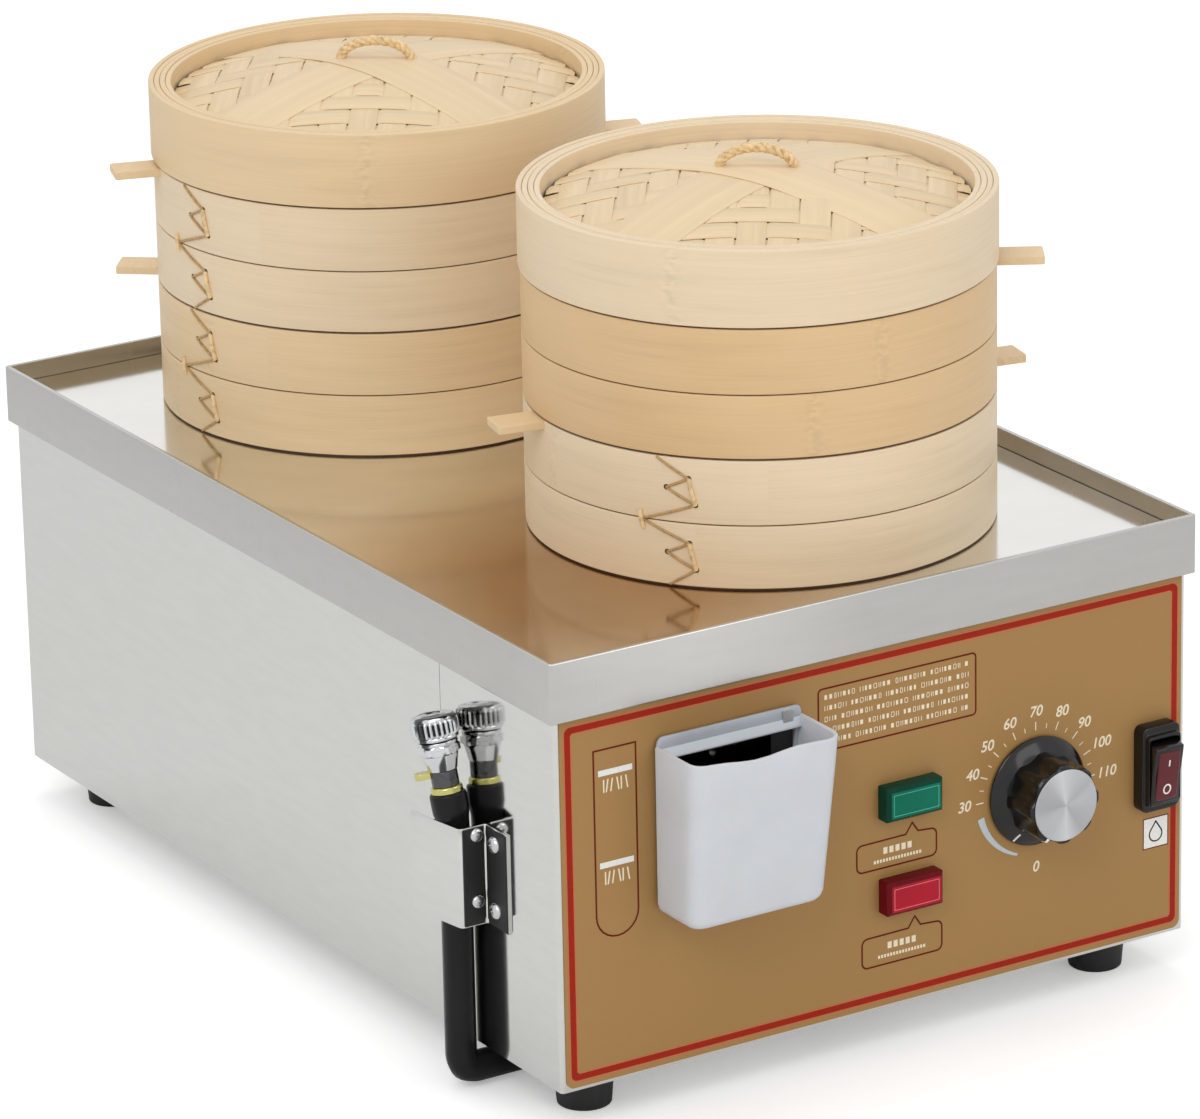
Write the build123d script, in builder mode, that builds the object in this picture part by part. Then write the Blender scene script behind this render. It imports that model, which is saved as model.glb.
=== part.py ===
from build123d import *
from math import atan2, cos, degrees, pi, radians, sin, sqrt, tan
import os

# Electric dumpling steamer: a stainless cabinet with a water tank, and two stacks
# of bamboo baskets over the two steam holes of its lift-out top plate.
# Millimetres, +Z up, the front faces -Y. The origin is the centre of the cabinet's
# footprint, on the surface that it stands on.

os.makedirs("parts", exist_ok=True)

# Cabinet sheets
RIM_WIDTH = 350.0
RIM_DEPTH = 520.0
RIM_TOP = 227.5
RIM_CORNER = 1.5
SKIRT_HEIGHT = 28.5
BODY_INSET = 3.5
BODY_LOW = 21.0
SHEET = 1.2
BEND = 2.0
SIDE_SEAM_Y = -158.0
SEAM_GAP = 0.3
PLATE_DROP = 9.0
PLATE_GAP = 0.8
LEDGE_WIDTH = 14.6
TRAY_HEIGHT = 13.0
VENT_LENGTH = 34.0
VENT_WIDTH = 4.0
VENT_PITCH = 14.0
VENT_COUNT = 4
VENT_Y = -226.0

BODY_WIDTH = RIM_WIDTH - 2 * BODY_INSET
BODY_DEPTH = RIM_DEPTH - 2 * BODY_INSET
INNER_WIDTH = BODY_WIDTH - 2 * SHEET
INNER_DEPTH = BODY_DEPTH - 2 * SHEET
WELL_WIDTH = RIM_WIDTH - 4 * SHEET
WELL_DEPTH = RIM_DEPTH - 4 * SHEET
PLATE_TOP = RIM_TOP - PLATE_DROP
LEDGE_TOP = PLATE_TOP - SHEET
DECK_TOP = LEDGE_TOP - SHEET
BODY_TOP = DECK_TOP - SHEET
FRONT_Y = -BODY_DEPTH / 2
LEFT_X = -BODY_WIDTH / 2
FRONT = Plane.XZ.offset(BODY_DEPTH / 2)
REAR = Plane(origin=(0, BODY_DEPTH / 2, 0), x_dir=(-1, 0, 0), z_dir=(0, 1, 0))

# Steam holes and water tank
HOLE_RADIUS = 62.0
HOLE_PITCH = 260.0
HOLE_FLATS = 20
STEAM_COLLAR = 8.0
TANK_WIDTH = 302.4
TANK_FRONT = -206.0
TANK_BACK = 240.0
TANK_LOW = 96.0
TANK_DEPTH = TANK_BACK - TANK_FRONT
TANK_Y = (TANK_FRONT + TANK_BACK) / 2

# Feet and the screws that hold them
FOOT_X = 142.0
FOOT_Y = 227.0
FOOT_RADIUS = 14.4
FOOT_NARROWING = 1.6
FOOT_SLOPE = 20.0
FOOT_RECESS = 6.0
FOOT_RECESS_RADIUS = 5.5
FOOT_FLATS = 16
SCREW_RADIUS = 2.0
SCREW_HEAD_RADIUS = 4.0
SCREW_HEAD_HEIGHT = 2.6
SCREW_GAP = 0.1
FOOT_SCREW_TOP = 27.0

# Fascia, the thin coloured sheet on the front
FASCIA_WIDTH = 338.0
FASCIA_LOW = 22.6
FASCIA_TOP = 203.0
FASCIA_SHEET = 0.5
FASCIA_CORNER = 4.0
FASCIA = FRONT.offset(FASCIA_SHEET)

# Signal lamps
LAMP_X = 14.0
LAMP_Z = {"power": 123.7, "heating": 77.8}
LENS_WIDTH = 29.4
LENS_HEIGHT = 16.2
LENS_REACH = 8.2
LENS_BEVEL = 1.8
LENS_WALL = 1.7
LENS_DISH = 0.6
LAMP_DEPTH = 18.5
BULB_RADIUS = 2.4
BULB_REACH = 4.5
TAB_WIDTH = 4.8
TAB_THICKNESS = 0.8
TAB_LENGTH = 7.0

# Thermostat and its knob
KNOB_X = 86.5
KNOB_Z = 110.0
KNOB_GAP = 0.7
SKIRT_RADIUS = 26.5
SKIRT_THICKNESS = 4.3
HOLLOW_RADIUS = 9.0
HOLLOW_DEPTH = 3.0
GRIP_RADIUS = 20.0
GRIP_OUT = 24.5
GRIP_LOBES = 8
KNOB_FLATS = 40
LOBE_RADIUS = 9.0
LOBE_CENTRE = 27.4
LOBE_FLATS = 24
CAP_RADIUS = 17.3
CAP_THICKNESS = 0.6
SPINDLE_RADIUS = 3.0
RUNNING_GAP = 0.05
BORE_FLATS = 12
SPINDLE_OUT = 16.0
SPINDLE_IN = 8.0
BUSH_RADIUS = 5.0
BUSH_OUT = 3.0
BUSH_NUT_RADIUS = 8.0
BUSH_NUT_HEIGHT = 1.6
THERMOSTAT_SIZE = 34.0
THERMOSTAT_DEPTH = 22.0
PROBE_X = 130.0
PROBE_RADIUS = 3.2
PROBE_FRONT = -180.0
PROBE_BACK = -90.0
CAPILLARY_RADIUS = 1.0
CAPILLARY_Y = -244.0
CAPILLARY_BEND = 8.0

# Rocker switch in its splash-proof frame
SWITCH_X = 152.9
SWITCH_Z = 108.3
SWITCH_WIDTH = 21.4
SWITCH_HEIGHT = 42.3
SWITCH_CORNER = 3.5
COLLAR_WIDTH = 18.8
COLLAR_HEIGHT = 35.0
FRAME_OUT = 7.5
COLLAR_OUT = 10.5
SWITCH_DEPTH = 22.0
ROCKER_Z = 107.5
ROCKER_WIDTH = 16.2
ROCKER_SWING = 15.2
ROCKER_GAP = 0.3
PIVOT_OUT = 4.0
ROCKER_MIDDLE_REACH = 8.3
ROCKER_END_REACH = 9.3
ROCKER_BACK = 5.0
ROCKER_TILT = 8.0
CAVITY_BACK = 7.6
TRUNNION_RADIUS = 1.5
TRUNNION_LENGTH = 1.5
WINDOW_WIDTH = 10.6
WINDOW_HALF = 10.6
WINDOW_DEPTH = 0.8
PIVOT = (SWITCH_X, FRONT_Y - PIVOT_OUT, ROCKER_Z)

# Water hopper on the front, and the duct behind it
HOPPER_LEFT = -120.0
HOPPER_RIGHT_TOP = -46.0
HOPPER_RIGHT_LOW = -54.5
HOPPER_LOW = 99.0
HOPPER_HIGH = 179.0
HOPPER_OUT = 1.5
HOPPER_REACH_TOP = 37.0
HOPPER_REACH_LOW = 33.0
HOPPER_CORNER = 9.0
HOPPER_ROUND = 5.0
HOPPER_WALL = 2.0
HOPPER_WAVE = [(-121, 177.5), (-104, 174.9), (-84, 175.7), (-63.5, 173.9), (-45, 177.1)]
OPENING_LEFT = -112.0
OPENING_RIGHT = -58.0
OPENING_LOW = 112.0
OPENING_HIGH = 170.0
GASKET_BORDER = 4.0
CLIP_X = -51.4
CLIP_WIDTH = 5.2
CLIP_LOW = 174.4
CLIP_SHEET = 0.8
CLIP_PLAY = 0.1
OPENING_WIDTH = OPENING_RIGHT - OPENING_LEFT
OPENING_HEIGHT = OPENING_HIGH - OPENING_LOW
OPENING_X = (OPENING_LEFT + OPENING_RIGHT) / 2
OPENING_Z = (OPENING_LOW + OPENING_HIGH) / 2

# Heating element in the tank, and the two notched bars that it lies in
TUBE_FLATS = 12
ELEMENT_RADIUS = 4.0
ELEMENT_Z = 112.0
ELEMENT_BEND = 18.0
ELEMENT_END_Y = -228.0
ELEMENT_ROUTE = [(70, 200), (-110, 200), (-110, -150), (30, -150)]
ELEMENT_LEGS = (-110.0, 70.0)
ELEMENT_TERMINALS = (30.0, 70.0)
FIT_GAP = 0.1
UNION_RADIUS = 10.0
UNION_HEIGHT = 5.0
REST_SHEET = 2.0
REST_LEFT = -135.0
REST_RIGHT = 140.0
REST_YS = (-100.0, 60.0)

# Drain hose, from the tank's floor, out under the cabinet and up its left side
HOSE_RADIUS = 7.3
HOSE_BORE = 5.0
HOSE_STAND = 8.6
HOSE_Y = -182.5
HOSE_X = LEFT_X - HOSE_STAND
HOSE_RUN_Z = 8.6
HOSE_BEND = 13.0
HOSE_ENTRY = 62.0
HOSE_HOLE = 9.5
HOSE_FLATS = 16
OUTLET_X = -117.0
OUTLET_LOW = 46.0
OUTLET_RADIUS = 4.9
OUTLET_BORE = 3.5
OUTLET_FLANGE = 12.0
OUTLET_FLANGE_HEIGHT = 2.0
CLAMP_LOW = 49.0
CLAMP_WIDTH = 8.0
CLAMP_BAND = 1.0
CLAMP_HOUSING = 8.0
CUFF_RADIUS = 8.5
CUFF_LOW = 8.0

# Drain valve on the hose's end, measured along its own axis from the hose's bend
VALVE_BASE = (HOSE_X, HOSE_Y, 126.0)
VALVE_AXIS = (-0.067, 0.196, 0.978)
TAIL_LOW = 8.0
TAIL_HIGH = 18.0
FERRULE_RADIUS = 6.7
FERRULE_CORE = 5.4
FERRULE_TOP = 28.5
THUMB_REACH = 13.5
THUMB_WIDTH = 7.0
THUMB_HEIGHT = 3.0
CONE_RADIUS = 8.4
CONE_NARROWING = 1.6
CONE_SLOPE = 7.0
CONE_TOP = 36.0
HEX_RADIUS = 9.8
HEX_TOP = 40.8
BONNET_RADIUS = 9.2
BONNET_TOP = 42.4
STEM_RADIUS = 3.0
STEM_TOP = 51.0
TAP_LOW = 43.0
TAP_TOP = 54.5
TAP_RADIUS = 10.3
TAP_CROWN = 1.2
FLUTES = 14
FLUTE_RADIUS = 0.9
VALVE = Plane(origin=VALVE_BASE, x_dir=(-0.85, 0.53, -0.16), z_dir=VALVE_AXIS)

# Bracket that holds the hose against the side
BRACKET_FOOT_Y = -215.0
BRACKET_Y = -196.0
BRACKET_END_Y = -163.0
BRACKET_REACH = 14.6
BRACKET_END_REACH = 20.0
BRACKET_LOW = 84.0
BRACKET_HIGH = 132.0
BRACKET_SHEET = 1.0

# Cable gland and terminal block
GLAND_X = 118.0
GLAND_Z = 52.0
GLAND_RADIUS = 7.5
GLAND_HEX = 11.5
GLAND_HEX_HEIGHT = 5.0
GLAND_CAP_RADIUS = 9.0
GLAND_CAP_HEIGHT = 11.0
GLAND_NARROWING = 2.4
GLAND_SLOPE = 9.0
GLAND_BORE = 4.2
GLAND_NUT_HEIGHT = 4.0
BLOCK_X = 92.0
BLOCK_Y = -232.0
BLOCK_WIDTH = 36.0
BLOCK_DEPTH = 16.0
BLOCK_HEIGHT = 8.0
BLOCK_TOWER = 5.0
BLOCK_PITCH = 11.0

# Bamboo baskets and their lids
STACKS = {"left": (-22.0, 146.0), "right": (27.0, -119.0)}
EARS = {
    "left_lower": (141.0, -39.0),
    "left_upper": (162.0, -18.0),
    "right_lower": (169.0, -11.0),
    "right_upper": (-31.0,),
}
STRAP_ANGLES = {"left": (14.0, -80.0), "right": (20.0, -72.0)}
BASKET_RADIUS = 110.3
BASKET_INNER = 100.0
BASKET_HEIGHT = 62.0
HOOP_FLATS = 30
BAND_SEAM = 1.2
SLAT_WIDTH = 12.5
SLAT_PITCH = 16.0
SLAT_COUNT = 12
SLAT_THICKNESS = 2.0
SLAT_REACH = 99.3
BAR_WIDTH = 14.0
BAR_THICKNESS = 5.0
BAR_OFFSETS = (-56.0, 0.0, 56.0)
BAR_LOW = 6.0
BAR_REACH = 103.5
EAR_WIDTH = 17.0
EAR_THICKNESS = 4.0
EAR_ROOT = 104.0
EAR_TIP = 132.0
LID_RADIUS = 111.2
LID_HEIGHT = 37.0
DOME_REACH = 99.7
DOME_EDGE = 27.7
DOME_SHOULDER = 9.0
DOME_SHOULDER_REACH = 66.0
DOME_CROWN = 15.4
DOME_CROWN_REACH = 22.0
DOME_WALL = 2.2
DOME_FLAT = cos(pi / HOOP_FLATS)
DOME_LOW_RUN = DOME_REACH - DOME_SHOULDER_REACH
DOME_HIGH_RUN = DOME_SHOULDER_REACH - DOME_CROWN_REACH
DOME_LOW_SLOPE = degrees(atan2(DOME_LOW_RUN * DOME_FLAT, DOME_SHOULDER))
DOME_HIGH_SLOPE = degrees(atan2(DOME_HIGH_RUN * DOME_FLAT, DOME_CROWN - DOME_SHOULDER))
STRAP_WIDTH = 38.0
STRAP_THICKNESS = 1.2
STRAP_REACH = 96.0
STRAP_END = DOME_EDGE + DOME_SHOULDER * (DOME_REACH - STRAP_REACH) / DOME_LOW_RUN
HANDLE_ANGLE = -38.0
HANDLE_HALF = 19.3
HANDLE_HEIGHT = 13.0
HANDLE_CANE = 4.6
HANDLE_STEPS = 10


def control_openings():
    """Draw the openings that go through both the fascia and the sheet behind it."""
    with Locations((OPENING_X, OPENING_Z)):
        Rectangle(OPENING_WIDTH, OPENING_HEIGHT)
    with Locations(*[(LAMP_X, height) for height in LAMP_Z.values()]):
        Rectangle(LENS_WIDTH - 2 * LENS_WALL, LENS_HEIGHT - 2 * LENS_WALL)
    with Locations((KNOB_X, KNOB_Z)):
        RegularPolygon(BUSH_RADIUS + FIT_GAP, TUBE_FLATS)
    with Locations((SWITCH_X, SWITCH_Z)):
        Rectangle(COLLAR_WIDTH, COLLAR_HEIGHT)


def wall_outline():
    """Draw the closed outline of the cabinet's four sheet walls."""
    RectangleRounded(BODY_WIDTH, BODY_DEPTH, BEND)
    Rectangle(INNER_WIDTH, INNER_DEPTH, mode=Mode.SUBTRACT)


# Front panel: one folded sheet that runs back along both sides as far as the seam
with BuildPart() as front_panel:
    with BuildSketch(Plane.XY.offset(BODY_LOW)):
        wall_outline()
        with Locations((0, SIDE_SEAM_Y)):
            Rectangle(
                BODY_WIDTH, BODY_DEPTH, align=(Align.CENTER, Align.MIN), mode=Mode.SUBTRACT
            )
    extrude(amount=BODY_TOP - BODY_LOW)
    with BuildSketch(FRONT):
        control_openings()
    extrude(amount=-2 * SHEET, mode=Mode.SUBTRACT)
front_panel.part.label = "front_panel"
export_step(front_panel.part, "parts/front_panel.step")

# Fascia: thin coloured sheet laid on the front panel, cut out for every control
with BuildPart() as control_fascia:
    with BuildSketch(FRONT):
        with Locations((0, (FASCIA_LOW + FASCIA_TOP) / 2)):
            RectangleRounded(FASCIA_WIDTH, FASCIA_TOP - FASCIA_LOW, FASCIA_CORNER)
    extrude(amount=FASCIA_SHEET)
    with BuildSketch(FRONT):
        control_openings()
    extrude(amount=FASCIA_SHEET, mode=Mode.SUBTRACT)
control_fascia.part.label = "control_fascia"
export_step(control_fascia.part, "parts/control_fascia.step")

# Rear wrap: the back and the rest of both sides, with the hole for the cable gland
with BuildPart() as rear_wrap:
    with BuildSketch(Plane.XY.offset(BODY_LOW)):
        wall_outline()
        with Locations((0, SIDE_SEAM_Y + SEAM_GAP)):
            Rectangle(
                BODY_WIDTH, BODY_DEPTH, align=(Align.CENTER, Align.MAX), mode=Mode.SUBTRACT
            )
    extrude(amount=BODY_TOP - BODY_LOW)
    with BuildSketch(REAR):
        with Locations((-GLAND_X, GLAND_Z)):
            RegularPolygon(GLAND_RADIUS + FIT_GAP, TUBE_FLATS)
    extrude(amount=-2 * SHEET, mode=Mode.SUBTRACT)
rear_wrap.part.label = "rear_wrap"
export_step(rear_wrap.part, "parts/rear_wrap.step")

# Base plate: shallow tray between the walls, with vents, feet and the hose's hole
with BuildPart() as base_plate:
    with BuildSketch(Plane.XY.offset(BODY_LOW)):
        Rectangle(INNER_WIDTH, INNER_DEPTH)
    extrude(amount=TRAY_HEIGHT)
    with BuildSketch(Plane.XY.offset(BODY_LOW + SHEET)):
        Rectangle(INNER_WIDTH - 2 * SHEET, INNER_DEPTH - 2 * SHEET)
    extrude(amount=TRAY_HEIGHT, mode=Mode.SUBTRACT)
    with BuildSketch(Plane.XY.offset(BODY_LOW)):
        with Locations((OUTLET_X, HOSE_Y)):
            RegularPolygon(HOSE_HOLE, HOSE_FLATS)
        with GridLocations(2 * FOOT_X, 2 * FOOT_Y, 2, 2):
            RegularPolygon(SCREW_RADIUS + SCREW_GAP, 6)
        with Locations((0, VENT_Y)):
            with GridLocations(VENT_PITCH, 0, VENT_COUNT, 1):
                Rectangle(VENT_WIDTH, VENT_LENGTH)
    extrude(amount=2 * SHEET, mode=Mode.SUBTRACT)
base_plate.part.label = "base_plate"
export_step(base_plate.part, "parts/base_plate.step")

# Top frame: skirt outside the walls, hemmed edge, and the ledge that carries the plate
with BuildPart() as top_frame:
    with BuildSketch(Plane.XY.offset(RIM_TOP)):
        RectangleRounded(RIM_WIDTH, RIM_DEPTH, RIM_CORNER)
        Rectangle(RIM_WIDTH - 2 * SHEET, RIM_DEPTH - 2 * SHEET, mode=Mode.SUBTRACT)
    extrude(amount=-SKIRT_HEIGHT)
    with BuildSketch(Plane.XY.offset(RIM_TOP)):
        Rectangle(RIM_WIDTH - 2 * SHEET, RIM_DEPTH - 2 * SHEET)
        Rectangle(WELL_WIDTH, WELL_DEPTH, mode=Mode.SUBTRACT)
    extrude(amount=DECK_TOP - RIM_TOP)
    with BuildSketch(Plane.XY.offset(DECK_TOP)):
        Rectangle(WELL_WIDTH, WELL_DEPTH)
        Rectangle(
            WELL_WIDTH - 2 * LEDGE_WIDTH, WELL_DEPTH - 2 * LEDGE_WIDTH, mode=Mode.SUBTRACT
        )
    extrude(amount=SHEET)
top_frame.part.label = "top_frame"
export_step(top_frame.part, "parts/top_frame.step")

# Water tank: folded and welded pan, open at the top, with an opening for each control
with BuildPart() as water_tank:
    with BuildSketch(Plane.XY.offset(TANK_LOW)):
        with Locations((0, TANK_Y)):
            Rectangle(TANK_WIDTH, TANK_DEPTH)
    extrude(amount=BODY_TOP - TANK_LOW)
    offset(amount=-SHEET, openings=water_tank.faces().sort_by(Axis.Z)[-1])
    with BuildSketch(Plane.XZ.offset(-TANK_FRONT)):
        with Locations((OPENING_X, OPENING_Z)):
            Rectangle(OPENING_WIDTH, OPENING_HEIGHT)
        with Locations(*[(leg, ELEMENT_Z) for leg in ELEMENT_TERMINALS]):
            RegularPolygon(ELEMENT_RADIUS + FIT_GAP, TUBE_FLATS)
        with Locations((PROBE_X, ELEMENT_Z)):
            RegularPolygon(CAPILLARY_RADIUS + FIT_GAP, 8)
    extrude(amount=-2 * SHEET, mode=Mode.SUBTRACT)
    with BuildSketch(Plane.XY.offset(TANK_LOW)):
        with Locations((OUTLET_X, HOSE_Y)):
            RegularPolygon(OUTLET_BORE, TUBE_FLATS)
    extrude(amount=2 * SHEET, mode=Mode.SUBTRACT)
water_tank.part.label = "water_tank"
export_step(water_tank.part, "parts/water_tank.step")

# Tank deck: flat sheet around the tank's mouth, by which the tank hangs on the walls
with BuildPart() as tank_deck:
    with BuildSketch(Plane.XY.offset(BODY_TOP)):
        RectangleRounded(BODY_WIDTH, BODY_DEPTH, BEND)
        with Locations((0, TANK_Y)):
            Rectangle(TANK_WIDTH - 2 * SHEET, TANK_DEPTH - 2 * SHEET, mode=Mode.SUBTRACT)
    extrude(amount=SHEET)
tank_deck.part.label = "tank_deck"
export_step(tank_deck.part, "parts/tank_deck.step")

# Steam plate: flat lift-out top with a round hole under each stack
with BuildPart() as steam_plate:
    with BuildSketch(Plane.XY.offset(LEDGE_TOP)):
        Rectangle(WELL_WIDTH - 2 * PLATE_GAP, WELL_DEPTH - 2 * PLATE_GAP)
        with GridLocations(0, HOLE_PITCH, 1, 2):
            RegularPolygon(HOLE_RADIUS, HOLE_FLATS, mode=Mode.SUBTRACT)
    extrude(amount=SHEET)
steam_plate.part.label = "steam_plate"
export_step(steam_plate.part, "parts/steam_plate.step")

# Steam collars: short rings welded under the two holes, which stiffen their edges
with BuildPart() as steam_collars:
    with BuildSketch(Plane.XY.offset(LEDGE_TOP)):
        with GridLocations(0, HOLE_PITCH, 1, 2):
            RegularPolygon(HOLE_RADIUS + SHEET, HOLE_FLATS)
            RegularPolygon(HOLE_RADIUS, HOLE_FLATS, mode=Mode.SUBTRACT)
    extrude(amount=-STEAM_COLLAR)
steam_collars.part.label = "steam_collars"
export_step(steam_collars.part, "parts/steam_collars.step")

# Feet: four tapered rubber feet, each with a recess for its screw's head
with BuildPart() as feet:
    with BuildSketch():
        with GridLocations(2 * FOOT_X, 2 * FOOT_Y, 2, 2):
            RegularPolygon(FOOT_RADIUS, FOOT_FLATS)
    extrude(amount=BODY_LOW)
    for sole in feet.faces().group_by(Axis.Z)[0]:
        chamfer(sole.edges(), length=FOOT_NARROWING, length2=FOOT_SLOPE, reference=sole)
    with BuildSketch():
        with GridLocations(2 * FOOT_X, 2 * FOOT_Y, 2, 2):
            RegularPolygon(FOOT_RECESS_RADIUS, 6)
    extrude(amount=FOOT_RECESS, mode=Mode.SUBTRACT)
    with BuildSketch():
        with GridLocations(2 * FOOT_X, 2 * FOOT_Y, 2, 2):
            RegularPolygon(SCREW_RADIUS + SCREW_GAP, 6)
    extrude(amount=BODY_LOW, mode=Mode.SUBTRACT)
feet.part.label = "feet"
export_step(feet.part, "parts/feet.step")

# Foot screws: hexagonal heads in the recesses, shanks up through the tray
with BuildPart() as foot_screws:
    with BuildSketch(Plane.XY.offset(FOOT_RECESS)):
        with GridLocations(2 * FOOT_X, 2 * FOOT_Y, 2, 2):
            RegularPolygon(SCREW_HEAD_RADIUS, 6)
    extrude(amount=-SCREW_HEAD_HEIGHT)
    with BuildSketch(Plane.XY.offset(FOOT_RECESS)):
        with GridLocations(2 * FOOT_X, 2 * FOOT_Y, 2, 2):
            RegularPolygon(SCREW_RADIUS, 6)
    extrude(amount=FOOT_SCREW_TOP - FOOT_RECESS)
foot_screws.part.label = "foot_screws"
export_step(foot_screws.part, "parts/foot_screws.step")

# Filler duct: rectangular tube from the front panel to the tank's front wall
with BuildPart() as filler_duct:
    with BuildSketch(FRONT.offset(-SHEET)):
        with Locations((OPENING_X, OPENING_Z)):
            Rectangle(OPENING_WIDTH + 2 * SHEET, OPENING_HEIGHT + 2 * SHEET)
            Rectangle(OPENING_WIDTH, OPENING_HEIGHT, mode=Mode.SUBTRACT)
    extrude(amount=FRONT_Y + SHEET - TANK_FRONT)
filler_duct.part.label = "filler_duct"
export_step(filler_duct.part, "parts/filler_duct.step")

# Water hopper: translucent moulding that narrows downwards, with a wavy lip, a back
# flange and the window that lets the water into the duct
with BuildPart() as water_hopper:
    with BuildSketch(FRONT.offset(HOPPER_OUT)):
        Polygon(
            (HOPPER_LEFT, HOPPER_LOW),
            (HOPPER_RIGHT_LOW, HOPPER_LOW),
            (HOPPER_RIGHT_TOP, HOPPER_HIGH),
            (HOPPER_LEFT, HOPPER_HIGH),
            align=None,
        )
    extrude(amount=HOPPER_REACH_TOP)
    with BuildSketch(Plane.YZ.offset(HOPPER_LEFT)):
        Polygon(
            (FRONT_Y, HOPPER_LOW),
            (FRONT_Y, HOPPER_HIGH),
            (FRONT_Y - HOPPER_REACH_TOP, HOPPER_HIGH),
            (FRONT_Y - HOPPER_REACH_LOW, HOPPER_LOW),
            align=None,
        )
    extrude(amount=HOPPER_RIGHT_TOP - HOPPER_LEFT, mode=Mode.INTERSECT)
    front_edges = water_hopper.faces().sort_by(Axis.Y)[0].edges()
    fillet(front_edges.sort_by(Axis.X)[0::3], radius=HOPPER_CORNER)
    low_edges = water_hopper.faces().sort_by(Axis.Z)[0].edges()
    chamfer(low_edges.sort_by(Axis.Y)[:-1], length=HOPPER_ROUND)
    offset(amount=-HOPPER_WALL, openings=water_hopper.faces().sort_by(Axis.Z)[-1])
    with BuildSketch(FRONT.offset(HOPPER_OUT)):
        with Locations((HOPPER_LEFT, HOPPER_LOW)):
            Rectangle(
                HOPPER_RIGHT_TOP - HOPPER_LEFT,
                HOPPER_HIGH - HOPPER_LOW,
                align=(Align.MIN, Align.MIN),
            )
    extrude(amount=HOPPER_WALL)
    with BuildSketch(FRONT.offset(HOPPER_OUT)):
        with Locations((OPENING_X, OPENING_Z)):
            Rectangle(OPENING_WIDTH, OPENING_HEIGHT)
    extrude(amount=HOPPER_WALL, mode=Mode.SUBTRACT)
    with BuildSketch(FRONT.offset(HOPPER_OUT + HOPPER_WALL)):
        with BuildLine():
            lip = Spline(*HOPPER_WAVE)
            Polyline(
                lip @ 0,
                (HOPPER_WAVE[0][0], HOPPER_HIGH + HOPPER_WALL),
                (HOPPER_WAVE[-1][0], HOPPER_HIGH + HOPPER_WALL),
                lip @ 1,
            )
        make_face()
    extrude(amount=HOPPER_REACH_TOP, mode=Mode.SUBTRACT)
water_hopper.part.label = "water_hopper"
export_step(water_hopper.part, "parts/water_hopper.step")

# Hopper gasket: flat rubber frame between the hopper's flange and the fascia
with BuildPart() as hopper_gasket:
    with BuildSketch(FASCIA):
        with Locations((OPENING_X, OPENING_Z)):
            Rectangle(OPENING_WIDTH + 2 * GASKET_BORDER, OPENING_HEIGHT + 2 * GASKET_BORDER)
            Rectangle(OPENING_WIDTH, OPENING_HEIGHT, mode=Mode.SUBTRACT)
    extrude(amount=HOPPER_OUT - FASCIA_SHEET)
hopper_gasket.part.label = "hopper_gasket"
export_step(hopper_gasket.part, "parts/hopper_gasket.step")

# Hopper clip: small bent strip over the top edge of the hopper's flange
clip_back = HOPPER_OUT - CLIP_PLAY
clip_front = HOPPER_OUT + HOPPER_WALL + CLIP_PLAY
with BuildPart() as hopper_clip:
    with BuildSketch(Plane.YZ.offset(CLIP_X)):
        with Locations((FRONT_Y - clip_back + CLIP_SHEET, CLIP_LOW)):
            Rectangle(
                clip_front - clip_back + 2 * CLIP_SHEET,
                HOPPER_HIGH + CLIP_PLAY + CLIP_SHEET - CLIP_LOW,
                align=(Align.MAX, Align.MIN),
            )
        with Locations((FRONT_Y - clip_back, CLIP_LOW)):
            Rectangle(
                clip_front - clip_back,
                HOPPER_HIGH + CLIP_PLAY - CLIP_LOW,
                align=(Align.MAX, Align.MIN),
                mode=Mode.SUBTRACT,
            )
    extrude(amount=CLIP_WIDTH / 2, both=True)
hopper_clip.part.label = "hopper_clip"
export_step(hopper_clip.part, "parts/hopper_clip.step")


def stepped_route(corners, radius):
    """Give a bent tube's route: each bend of the given radius taken in three steps."""
    route = [Vector(*corners[0])]
    for before, corner, after in zip(corners, corners[1:], corners[2:]):
        arrive = (Vector(*corner) - Vector(*before)).normalized()
        leave = (Vector(*after) - Vector(*corner)).normalized()
        half_turn = radians(arrive.get_angle(leave)) / 2
        start = Vector(*corner) - arrive * radius * tan(half_turn)
        inward = (leave - arrive * cos(2 * half_turn)).normalized()
        for step in (0, 1, 2, 3):
            turn = step * 2 * half_turn / 3
            route.append(start + arrive * radius * sin(turn) + inward * radius * (1 - cos(turn)))
    return route + [Vector(*corners[-1])]


# Heating element: one bent tube whose two ends come forward through the tank's wall
element_points = [(ELEMENT_TERMINALS[1], ELEMENT_END_Y)]
element_points += ELEMENT_ROUTE
element_points += [(ELEMENT_TERMINALS[0], ELEMENT_END_Y)]
with BuildPart() as heating_element:
    with BuildLine():
        Polyline(*stepped_route([(x, y, ELEMENT_Z) for x, y in element_points], ELEMENT_BEND))
    with BuildSketch(Plane.XZ.offset(-ELEMENT_END_Y)):
        with Locations((ELEMENT_TERMINALS[1], ELEMENT_Z)):
            RegularPolygon(ELEMENT_RADIUS, TUBE_FLATS)
    sweep(transition=Transition.RIGHT)
heating_element.part.label = "heating_element"
export_step(heating_element.part, "parts/heating_element.step")

# Element nuts: the hexagonal unions that seal the two ends against the tank's wall
with BuildPart() as element_nuts:
    with BuildSketch(Plane.XZ.offset(-TANK_FRONT)):
        with Locations(*[(leg, ELEMENT_Z) for leg in ELEMENT_TERMINALS]):
            RegularPolygon(UNION_RADIUS, 6)
            RegularPolygon(ELEMENT_RADIUS + FIT_GAP, TUBE_FLATS, mode=Mode.SUBTRACT)
    extrude(amount=UNION_HEIGHT)
element_nuts.part.label = "element_nuts"
export_step(element_nuts.part, "parts/element_nuts.step")

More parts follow.
